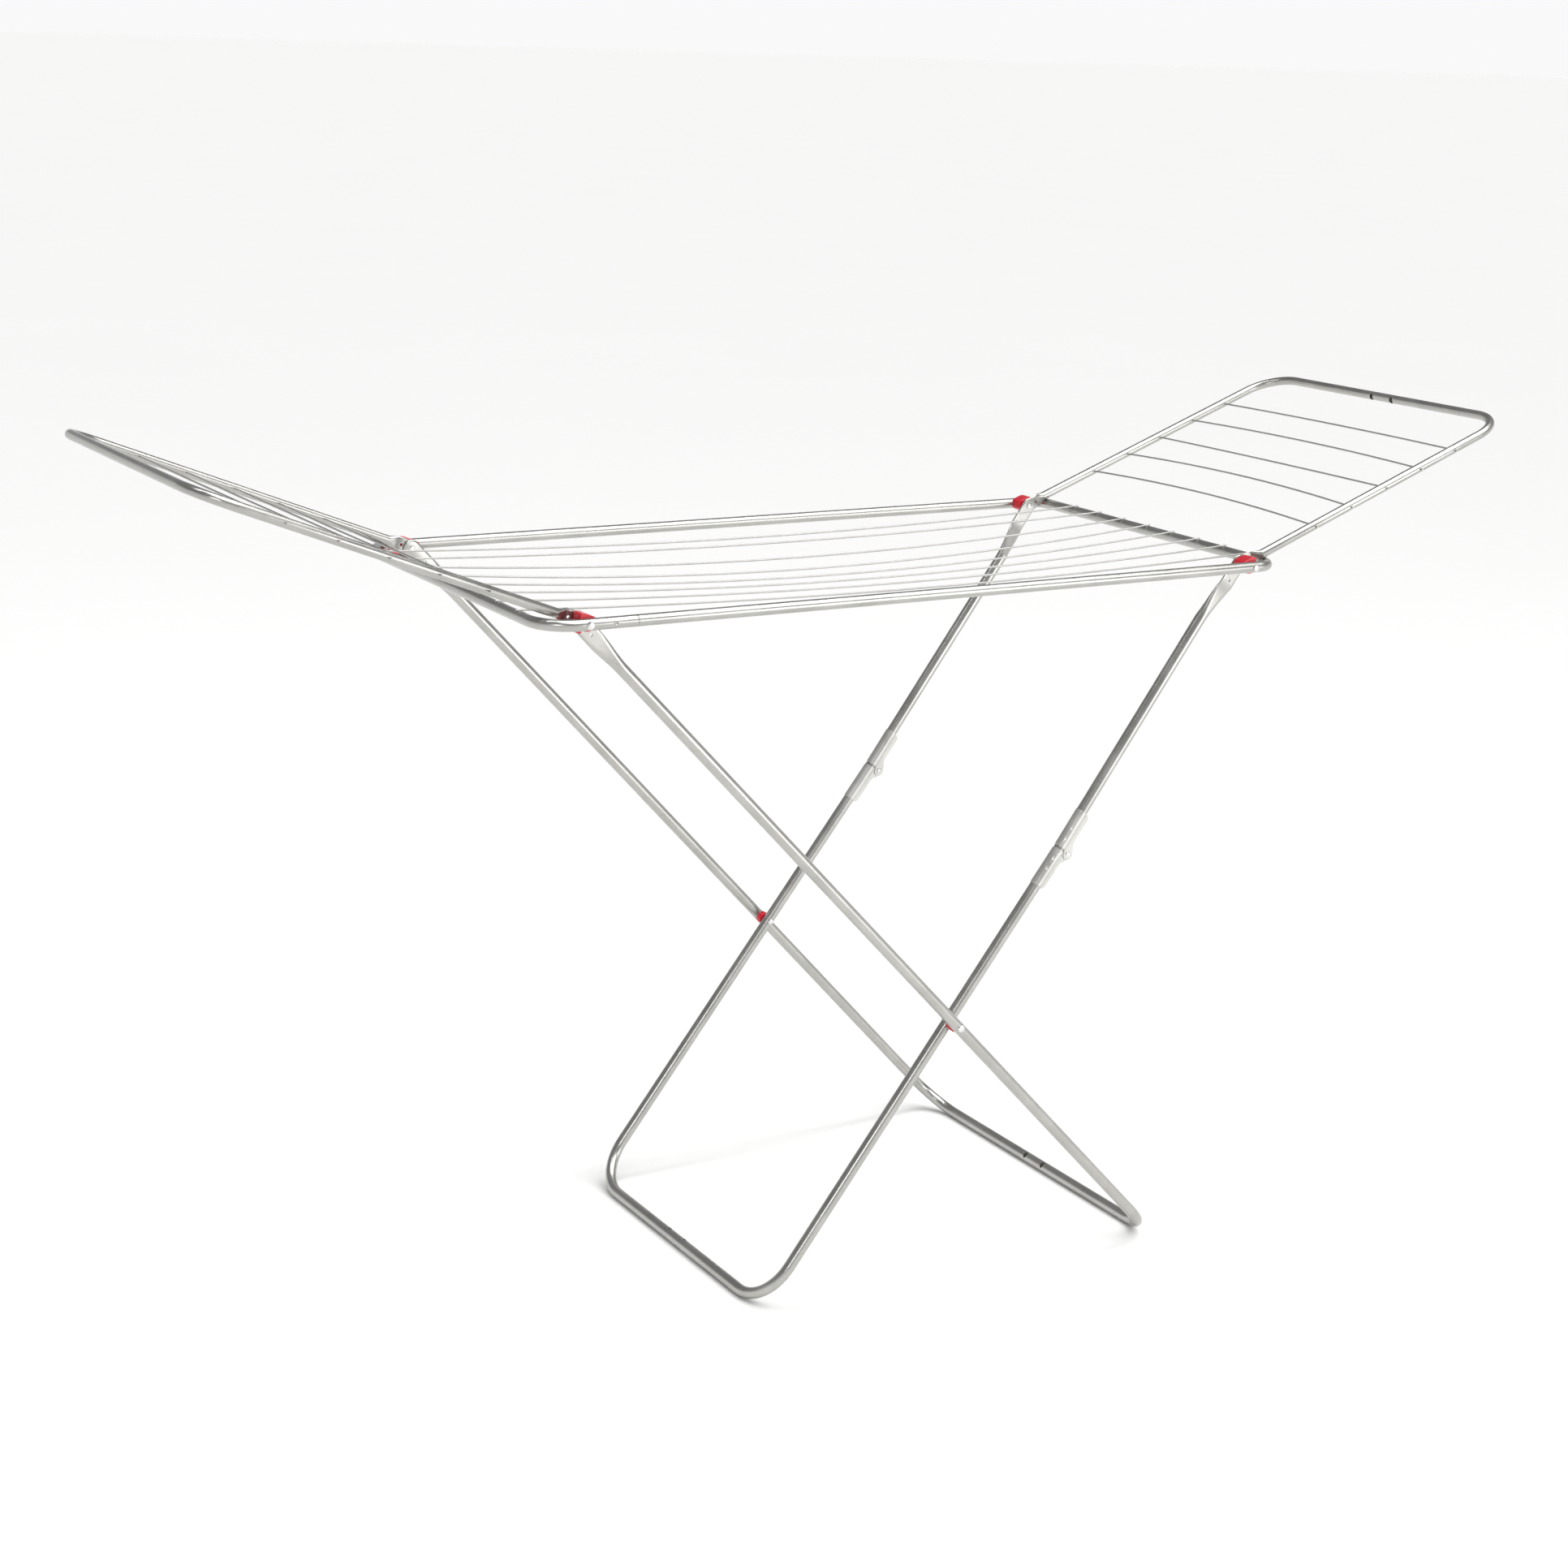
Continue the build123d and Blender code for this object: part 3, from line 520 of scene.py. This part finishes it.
# ---------------------------------------------------------------- main frame
def make_main_frame():
    """One tube round all four corners; its swaged end goes into its other end at the joint."""
    swage = 0.6 * MM
    begin = RAIL_JOINT_X - 1.0 * MM
    tube = start_ring("main_frame", (begin, -RAIL_HALF, RAIL_HEIGHT), (1, 0, 0), RAIL_R - swage)
    push((1.0 * MM, 0, 0))
    push((0.5 * MM, 0, 0))
    grow = RAIL_R / (RAIL_R - swage)
    squeeze((1, grow, grow), (RAIL_JOINT_X + 0.5 * MM, -RAIL_HALF, RAIL_HEIGHT))
    corners = [
        (RAIL_JOINT_X + 0.5 * MM, -RAIL_HALF, RAIL_HEIGHT),
        (RIGHT_END_X, -RAIL_HALF, RAIL_HEIGHT),
        (RIGHT_END_X, RAIL_HALF, RAIL_HEIGHT),
        (LEFT_END_X, RAIL_HALF, RAIL_HEIGHT),
        (LEFT_END_X, -RAIL_HALF, RAIL_HEIGHT),
        (RAIL_JOINT_X - RAIL_JOINT_GAP, -RAIL_HALF, RAIL_HEIGHT),
    ]
    follow(corners, [RIGHT_CORNER_R, RIGHT_CORNER_R, LEFT_CORNER_R, LEFT_CORNER_R])
    close_up(tube)
    dimple = start_ring("dimple_tool", (DIMPLE_X, -RAIL_HALF - RAIL_R - 1.0 * MM, RAIL_HEIGHT + 1 * MM),
                        (0, 1, 0), 3.1 * MM, 24)
    for depth, share in ((1.3, 0.85), (0.7, 0.7), (0.4, 0.45)):
        push((0, depth * MM, 0))
        squeeze((share, 1, share), (DIMPLE_X, 0, RAIL_HEIGHT + 1 * MM))
    close_up(dimple)
    carve(tube, dimple)
    join_rack(tube, "main_frame", "frame_tube_paint", FRAME_COAT, "main_frame_tube")


def sagging_wire(name, length, sag, radius=WIRE_R, steps=28):
    """A wire along X that hangs down by sag at its middle; it starts at the origin."""
    bend = (length * length / 4 + sag * sag) / (2 * sag)
    half_angle = asin(length / 2 / bend)
    wire = start_ring(name, (0, 0, 0), (cos(half_angle), 0, -sin(half_angle)), radius, WIRE_SIDES)
    centre = (length / 2, 0, bend - sag)
    bpy.ops.mesh.spin(steps=steps, angle=2 * half_angle, center=centre, axis=(0, 1, 0))
    return wire


def make_frame_wires():
    z = RAIL_HEIGHT + RAIL_R + WIRE_R - WIRE_SEAT
    for index, sag in enumerate(FRAME_WIRE_SAGS):
        left = Vector((LEFT_END_X - FRAME_WIRE_POKE, FRAME_WIRE_FIRST_LEFT - index * FRAME_WIRE_PITCH, z))
        right = Vector((RIGHT_END_X + FRAME_WIRE_POKE, FRAME_WIRE_FIRST_RIGHT - index * FRAME_WIRE_PITCH, z))
        span = right - left
        wire = sagging_wire(f"drying_wire_{index + 1}", span.length, sag * MM)
        askew = Matrix.Translation(left) @ Matrix.Rotation(atan2(span.y, span.x), 4, "Z")
        close_up(wire, askew)
        join_rack(wire, "main_frame", "drying_wire", WIRE_COAT, f"frame_wire_{index + 1}")


make_main_frame()
make_frame_wires()


# ---------------------------------------------------------------- wings
def wing_frame(end):
    """The working frame of a wing: X outwards from its pivots, Z its upper side."""
    about = Matrix.Rotation(0 if end > 0 else pi, 4, "Z")
    return about @ leaning(RIGHT_PIVOT, WING_ANGLE)


def two_armed_tube(name, sections, radius, arm_start, reach, foot_half, foot_r):
    """A U of tube with both ends pressed flat, from tip to tip."""
    x, thickness, width, middle = sections[0]
    oval = underlying(thickness, radius)
    tube = start_ring(name, (x, -middle, 0), (1, 0, 0), width)
    squeeze((1, oval / width, 1), (x, -middle, 0))
    go_through(sections[1:], -1, radius, (x, oval, width, middle))
    tube_half = sections[-1][3]
    follow(
        [
            (arm_start, -tube_half, 0),
            (reach, -foot_half, 0),
            (reach, foot_half, 0),
            (arm_start, tube_half, 0),
        ],
        [foot_r, foot_r],
    )
    inward = sections[-2::-1]
    last = sections[-1]
    go_through(inward, 1, radius, (last[0], underlying(last[1], radius), last[2], last[3]))
    for side in SIDES.values():
        press_flat(tube, sections, side)
    return tube


def make_wing(end_name, end):
    sections = pressed_sections(WING_PLATE_MID, WING_PLATE_HALF_W, WING_FLAT, WING_TAPER, WING_HALF, WING_R)
    wing = two_armed_tube(
        f"wing_{end_name}", sections, WING_R, WING_FLAT + WING_TAPER, WING_REACH, WING_HALF, WING_CORNER_R
    )
    close_up(wing)
    for side in SIDES.values():
        hole = start_ring("drain_tool", (WING_DRAIN, side * (WING_PLATE_MID - DRILL_REACH), 0), (0, 1, 0),
                          DRAIN_HOLE_R, 20)
        push((0, side * 2 * DRILL_REACH, 0))
        carve(wing, close_up(hole))
        place = (WING_REACH - WING_R, side * PAIR_HOLE_HALF, 0)
        carve(wing, pocket("pair_tool", place, (-1, 0, 0), PAIR_HOLE_R, TUBE_WALL, WING_R))
    wing.matrix_world = wing_frame(end)
    bpy.ops.object.transform_apply(location=True, rotation=True, scale=True)
    body = f"wing_{end_name}"
    join_rack(wing, body, "wing_tube_paint", WING_COAT, f"wing_tube_{end_name}")
    reach = WING_HALF + WING_R + WING_WIRE_POKE
    for index, (place, bow) in enumerate(WING_WIRES, start=1):
        wire = sagging_wire(f"wing_{end_name}_wire_{index}", 2 * reach, bow * MM, steps=20)
        across = Matrix.Translation((place * MM, -reach, 0)) @ Matrix(
            ((0, 0, -1, 0), (1, 0, 0, 0), (0, -1, 0, 0), (0, 0, 0, 1))
        )
        close_up(wire, wing_frame(end) @ across)
        join_rack(wire, body, "drying_wire", WIRE_COAT, f"wing_wire_{end_name}_{index}")


for end_name, end in ENDS.items():
    make_wing(end_name, end)


# ---------------------------------------------------------------- legs
def cut_pair_holes(piece, reach):
    for side in SIDES.values():
        place = (reach - LEG_R, side * PAIR_HOLE_HALF, 0)
        carve(piece, pocket("pair_tool", place, (-1, 0, 0), PAIR_HOLE_R, TUBE_WALL, LEG_R))


def cut_drain(piece, side):
    hole = start_ring("drain_tool", (LEG_DRAIN, side * (LEG_PLATE_MID - DRILL_REACH), 0), (0, 1, 0),
                      DRAIN_HOLE_R, 20)
    push((0, side * 2 * DRILL_REACH, 0))
    carve(piece, close_up(hole))


def settle(piece, frame_of_piece):
    """Moves a piece made in its working frame to its place on the rack."""
    bpy.ops.object.select_all(action="DESELECT")
    piece.select_set(True)
    bpy.context.view_layer.objects.active = piece
    piece.matrix_world = frame_of_piece
    bpy.ops.object.transform_apply(location=True, rotation=True, scale=True)
    return piece


def leg_sections(splay, top_half):
    start = LEG_FLAT + LEG_TAPER
    return pressed_sections(
        LEG_PLATE_MID, LEG_PLATE_HALF_W, LEG_FLAT, LEG_TAPER, top_half + splay * start, LEG_R
    )


def make_outer_legs():
    sections = leg_sections(OUTER_SPLAY, OUTER_TOP_HALF)
    legs = two_armed_tube(
        "outer_legs", sections, LEG_R, LEG_FLAT + LEG_TAPER, OUTER_LENGTH, OUTER_FOOT_HALF, OUTER_FOOT_R
    )
    close_up(legs)
    for side in SIDES.values():
        cut_drain(legs, side)
    cut_pair_holes(legs, OUTER_LENGTH)
    settle(legs, leaning(LEFT_PIVOT, OUTER_ANGLE))
    join_rack(legs, "outer_legs", "leg_tube_paint", LEG_COAT, "outer_leg_frame")


def hollow_end(way, depth):
    """Turns the selected end face into the open end of a tube."""
    bpy.ops.mesh.inset(thickness=TUBE_WALL)
    push(-Vector(way).normalized() * depth)


def make_upper_leg(side_name, side):
    sections = leg_sections(INNER_SPLAY, INNER_TOP_HALF)
    x, thickness, width, middle = sections[0]
    oval = underlying(thickness, LEG_R)
    leg = start_ring(f"upper_leg_{side_name}", (x, side * middle, 0), (1, 0, 0), width)
    squeeze((1, oval / width, 1), (x, side * middle, 0))
    go_through(sections[1:], side, LEG_R, (x, oval, width, middle))
    start, end = LEG_FLAT + LEG_TAPER, UPPER_LENGTH - BUTT_GAP / 2
    way = (end - start, side * INNER_SPLAY * (end - start), 0)
    push(way)
    hollow_end(way, OPEN_END_DEPTH)
    press_flat(leg, sections, side)
    close_up(leg)
    cut_drain(leg, side)
    settle(leg, leaning(RIGHT_PIVOT, UPPER_ANGLE))
    join_rack(leg, "inner_upper_legs", "leg_tube_paint", LEG_COAT, f"inner_upper_leg_{side_name}")


def make_lower_legs():
    """The lower part of the inner legs: two open tube ends at the knee and the foot bar."""
    begin = BUTT_GAP / 2
    top = KNEE_HALF + INNER_SPLAY * begin
    legs = start_ring("lower_legs", (begin + OPEN_END_DEPTH, -top, 0), (-1, 0, 0), LEG_R - TUBE_WALL)
    push((-OPEN_END_DEPTH, 0, 0))
    grow = LEG_R / (LEG_R - TUBE_WALL)
    push((0, 0, 0))
    squeeze((1, grow, grow), (begin, -top, 0))
    follow(
        [
            (begin, -top, 0),
            (LOWER_LENGTH, -INNER_FOOT_HALF, 0),
            (LOWER_LENGTH, INNER_FOOT_HALF, 0),
            (begin, top, 0),
        ],
        [INNER_FOOT_R, INNER_FOOT_R],
    )
    hollow_end((-1, 0, 0), OPEN_END_DEPTH)
    close_up(legs)
    cut_pair_holes(legs, LOWER_LENGTH)
    settle(legs, leaning(SPLIT, LOWER_ANGLE))
    join_rack(legs, "inner_lower_legs", "leg_tube_paint", LEG_COAT, "inner_lower_leg_frame")


make_outer_legs()
for side_name, side in SIDES.items():
    make_upper_leg(side_name, side)
make_lower_legs()


# ---------------------------------------------------------------- turned and cut pieces
def turned(name, place, way, profile, sides=28):
    """A round piece on an axis; profile is (distance along way, radius) from end to end."""
    way = Vector(way).normalized()
    here, radius = profile[0]
    piece = start_ring(name, Vector(place) + way * here, way, radius, sides)
    for there, next_radius in profile[1:]:
        push(way * (there - here))
        grow = next_radius / radius
        squeeze((grow, grow, grow), Vector(place) + way * there)
        here, radius = there, next_radius
    return close_up(piece)


def cut_sheet(name, outline, low, high):
    """A flat piece with a given outline in X and Z, between two heights in Y."""
    bpy.ops.object.select_all(action="DESELECT")
    start = Vector((outline[0][0], low, outline[0][1]))
    bpy.ops.mesh.primitive_plane_add(size=MM, location=start)
    piece = bpy.context.object
    piece.name = name
    bpy.ops.object.transform_apply(location=True, rotation=True, scale=True)
    bpy.ops.object.mode_set(mode="EDIT")
    bpy.ops.mesh.select_all(action="SELECT")
    bpy.ops.mesh.merge(type="CENTER")
    for (x, z), (next_x, next_z) in zip(outline, outline[1:]):
        push((next_x - x, 0, next_z - z))
    bpy.ops.mesh.select_all(action="SELECT")
    bpy.ops.mesh.edge_face_add()
    push((0, high - low, 0))
    return close_up(piece)


def apply_modifier(piece, kind, **settings):
    bpy.ops.object.select_all(action="DESELECT")
    piece.select_set(True)
    bpy.context.view_layer.objects.active = piece
    change = piece.modifiers.new("change", kind)
    for name, value in settings.items():
        setattr(change, name, value)
    bpy.ops.object.modifier_apply(modifier="change")
    bpy.ops.object.shade_smooth_by_angle(angle=radians(35))


def soften(piece, width):
    """Rounds the sharp edges of a piece."""
    apply_modifier(piece, "BEVEL", width=width, segments=3, limit_method="ANGLE", angle_limit=radians(25))


def weld(piece, other):
    """Makes one closed shape of two."""
    apply_modifier(piece, "BOOLEAN", operation="UNION", solver="EXACT", object=other)
    bpy.data.objects.remove(other)


def gather(name, pieces):
    """Joins loose parts of one kind into one piece."""
    bpy.ops.object.select_all(action="DESELECT")
    for piece in pieces:
        piece.select_set(True)
    bpy.context.view_layer.objects.active = pieces[0]
    bpy.ops.object.join()
    pieces[0].name = name
    return pieces[0]


def rivet_head(face, rim):
    """Profile of a flat-topped head on a round tube; its rim starts rim below the tube's face."""
    steps = ((0.4, 4.75), (1.0, 4.5), (1.3, 4.0), (1.5, 3.0), (1.6, 0.8))
    low = (
        (face - (rim + 0.1) * MM, RIVET_R),
        (face - rim * MM, 4.5 * MM),
        (face - (rim - 0.4) * MM, RIVET_HEAD_R),
    )
    return low + tuple((face + lift * MM, radius * MM) for lift, radius in steps)


# ---------------------------------------------------------------- corner spacers and rivets
def spacer_outline(end):
    """Rounded wedge: high towards the end bar, sloping down the other way; from the pivot."""
    corners = (
        (8.0, -4.6), (8.0, 10.2), (6.6, 11.8), (4.4, 12.0), (1.0, 11.6), (-4.0, 9.8), (-9.0, 7.8),
        (-12.2, 6.0), (-13.0, 4.2), (-13.0, -3.6), (-11.6, -5.8), (-8.4, -7.4), (-5.4, -8.8),
        (-1.6, -9.4), (2.2, -8.9), (5.4, -7.9), (7.4, -6.6),
    )
    return [(end * PIVOT_HALF + end * x * MM, RAIL_HEIGHT + z * MM) for x, z in corners]


def stop_outline(near):
    """The lug of a left spacer, under the wing's pressed end, from a place along the wing."""
    low, high = STOP_DROP, STOP_DROP + STOP_T
    corners = ((near, low), (STOP_TO, low), (STOP_TO, high), (near, high))
    outline = []
    for reach, drop in corners:
        x = reach * cos(WING_ANGLE) + drop * sin(WING_ANGLE)
        z = reach * sin(WING_ANGLE) - drop * cos(WING_ANGLE)
        outline.append((-PIVOT_HALF - x, RAIL_HEIGHT + z))
    return outline


def make_corner(end_name, end, side_name, side):
    """The spacer at one corner; its rivet is returned."""
    low, high = sorted((side * SPACER_IN, side * SPACER_OUT))
    spacer = cut_sheet(f"corner_spacer_{end_name}_{side_name}", spacer_outline(end), low, high)
    if end < 0:
        middle, under = side * (SPACER_IN + SPACER_OUT) / 2, side * (WING_PLATE_MID - PLATE_HALF_T)
        face = side * SPACER_IN
        weld(spacer, cut_sheet("lug", stop_outline(STOP_FROM), *sorted((face, middle))))
        weld(spacer, cut_sheet("lug", stop_outline(STOP_START), *sorted((under, middle - side * MM))))
    soften(spacer, 0.9 * MM)
    rail = turned("rail_tool", (end * PIVOT_HALF, side * RAIL_HALF, RAIL_HEIGHT), (1, 0, 0),
                  ((-30 * MM, RAIL_R), (30 * MM, RAIL_R)), TUBE_SIDES)
    carve(spacer, rail)
    join_rack(spacer, "main_frame", "spacer_plastic", RED_PLASTIC,
              f"corner_spacer_{end_name}_{side_name}")
    inside, outside = LEG_PLATE_IN - 0.05 * MM, RAIL_HALF + RAIL_R
    profile = (
        (inside - 1.4 * MM, 1.8 * MM), (inside - 1.3 * MM, 3.0 * MM), (inside - 0.8 * MM, 4.0 * MM),
        (inside - 0.2 * MM, RIVET_TAIL_R), (inside, RIVET_TAIL_R), (inside + 0.01 * MM, RIVET_R),
        *rivet_head(outside, 2.1),
    )
    return turned("corner_rivet", (end * PIVOT_HALF, 0, RAIL_HEIGHT), (0, side, 0), profile)


for end_name, end in ENDS.items():
    rivets = [make_corner(end_name, end, side_name, side) for side_name, side in SIDES.items()]
    both = gather(f"corner_rivets_{end_name}", rivets)
    join_rack(both, "main_frame", "rivet_steel", RIVET_STEEL, f"corner_rivets_{end_name}")


# ---------------------------------------------------------------- crossing of the legs
def make_crossing(side_name, side):
    """The washer between the legs; the two halves of the rivet are returned."""
    at = (CROSS[0], 0, CROSS[1])
    way = (0, side, 0)
    near, far = INNER_MID + LEG_R + 0.3 * MM, OUTER_MID - LEG_R + 3.0 * MM
    washer = turned(
        f"cross_spacer_{side_name}", at, way,
        (
            (near, 7.7 * MM), (near + 0.3 * MM, 8.2 * MM),
            (near + 0.8 * MM, CROSS_SPACER_R), (far, CROSS_SPACER_R),
        ),
        WASHER_SIDES,
    )
    leg = turned("leg_tool", (-60 * MM, side * (OUTER_MID - OUTER_SPLAY * 60 * MM), 0),
                 (1, side * OUTER_SPLAY, 0), ((0, LEG_R), (120 * MM, LEG_R)), TUBE_SIDES)
    settle(leg, leaning(CROSS, OUTER_ANGLE))
    carve(washer, leg)
    join_rack(washer, "outer_legs", "spacer_plastic", RED_PLASTIC, f"cross_spacer_{side_name}")
    face = OUTER_MID + LEG_R
    head = turned("cross_rivet", at, way, (
        (near, RIVET_R), *rivet_head(face, 1.9),
    ))
    face = INNER_MID - LEG_R
    tail = turned("cross_rivet_tail", at, way, (
        (face - RIVET_TAIL_T, 1.8 * MM), (face - 1.2 * MM, 3.0 * MM), (face - 0.7 * MM, 4.0 * MM),
        (face, RIVET_TAIL_R), (face + 1.2 * MM, RIVET_TAIL_R), (face + 1.3 * MM, RIVET_R),
        (INNER_MID + LEG_R - 0.2 * MM, RIVET_R),
    ))
    return head, tail


made_pairs = [make_crossing(side_name, side) for side_name, side in SIDES.items()]
heads = gather("cross_rivets", [head for head, _ in made_pairs])
join_rack(heads, "outer_legs", "rivet_steel", RIVET_STEEL, "cross_rivets")
tails = gather("cross_rivet_tails", [tail for _, tail in made_pairs])
join_rack(tails, "inner_lower_legs", "rivet_steel", RIVET_STEEL, "cross_rivet_tails")


# ---------------------------------------------------------------- knees
def bracket_outline(angle, toward):
    """Fin with a rounded far corner, and the ear round the knee pin; in the leg's X and Z."""
    turn = LOWER_ANGLE - angle
    ear = (-KNEE_OFFSET * sin(turn), KNEE_OFFSET * cos(turn))
    last = BRACKET_LENGTH / MM + 2.0
    fin = (
        (2.0, 5.0), (last, 5.0), (last, 9.0), (last - 0.7, 11.0), (last - 2.4, 12.8), (last - 5.0, 14.0),
        (17.0, 14.0), (13.0, 15.4), (9.4, 18.4),
    )
    outline = [(toward * x * MM, z * MM) for x, z in fin]
    for step in range(9):
        lift = radians(56 + step * 27)
        outline.append((ear[0] + toward * EAR_R * cos(lift), ear[1] + EAR_R * sin(lift)))
    return outline


def make_bracket(which, angle, toward, body, plates, side_name, side):
    """Sheet round a leg tube with its fin and ear, and the dents that hold it on the tube."""
    name = f"knee_bracket_{which}_{side_name}"
    first, last = BRACKET_START, BRACKET_START + BRACKET_LENGTH
    base = (0, side * KNEE_HALF, 0)
    way = Vector((toward, side * INNER_SPLAY * toward, 0))
    skin = LEG_R + BRACKET_T
    bracket = turned(name, base, way, (
        (first, skin - SHEET_EDGE), (first + SHEET_EDGE, skin),
        (last - SHEET_EDGE, skin), (last, skin - SHEET_EDGE),
    ), TUBE_SIDES)
    for low, high in plates:
        weld(bracket, cut_sheet("fin", bracket_outline(angle, toward), side * KNEE_HALF + low,
                                side * KNEE_HALF + high))
    bore_r = LEG_R + SLEEVE_FIT
    bore = turned("bore_tool", base, way, ((-10 * MM, bore_r), (80 * MM, bore_r)), TUBE_SIDES)
    carve(bracket, bore)
    for place in CRIMP_PLACES:
        out = Vector((0, side * cos(CRIMP_TURN), -sin(CRIMP_TURN)))
        spot = Vector((toward * place, side * KNEE_HALF, 0))
        dent = turned("dent_tool", spot, out, (
            (skin + 1.0 * MM, 3.2 * MM), (skin, 2.2 * MM),
            (skin - 0.4 * MM, 1.6 * MM), (skin - 0.6 * MM, 0.7 * MM),
        ), 20)
        carve(bracket, dent)
    settle(bracket, leaning(SPLIT, angle))
    join_rack(bracket, body, "bracket_sheet", BRACKET_COAT, name)


def make_knee_rivet(side):
    half = CLEVIS_GAP + CLEVIS_T
    dome = ((0.02, RIVET_TAIL_R), (0.5, 4.1 * MM), (0.9, 3.4 * MM), (1.2, 2.3 * MM), (1.4, 0.8 * MM))
    profile = [(-half - lift * MM, radius) for lift, radius in reversed(dome)]
    profile += [(-half, RIVET_R), (half, RIVET_R)]
    profile += [(half + lift * MM, radius) for lift, radius in dome]
    return turned("knee_rivet", (KNEE[0], side * KNEE_HALF, KNEE[1]), (0, side, 0), profile)


CLEVIS = ((CLEVIS_GAP, CLEVIS_GAP + CLEVIS_T), (-CLEVIS_GAP - CLEVIS_T, -CLEVIS_GAP))
TONGUE = ((-TONGUE_HALF, TONGUE_HALF),)
for side_name, side in SIDES.items():
    make_bracket("upper", UPPER_ANGLE, -1, "inner_upper_legs", CLEVIS, side_name, side)
    make_bracket("lower", LOWER_ANGLE, 1, "inner_lower_legs", TONGUE, side_name, side)
pins = gather("knee_rivets", [make_knee_rivet(side) for side in SIDES.values()])
join_rack(pins, "inner_upper_legs", "rivet_steel", RIVET_STEEL, "knee_rivets")
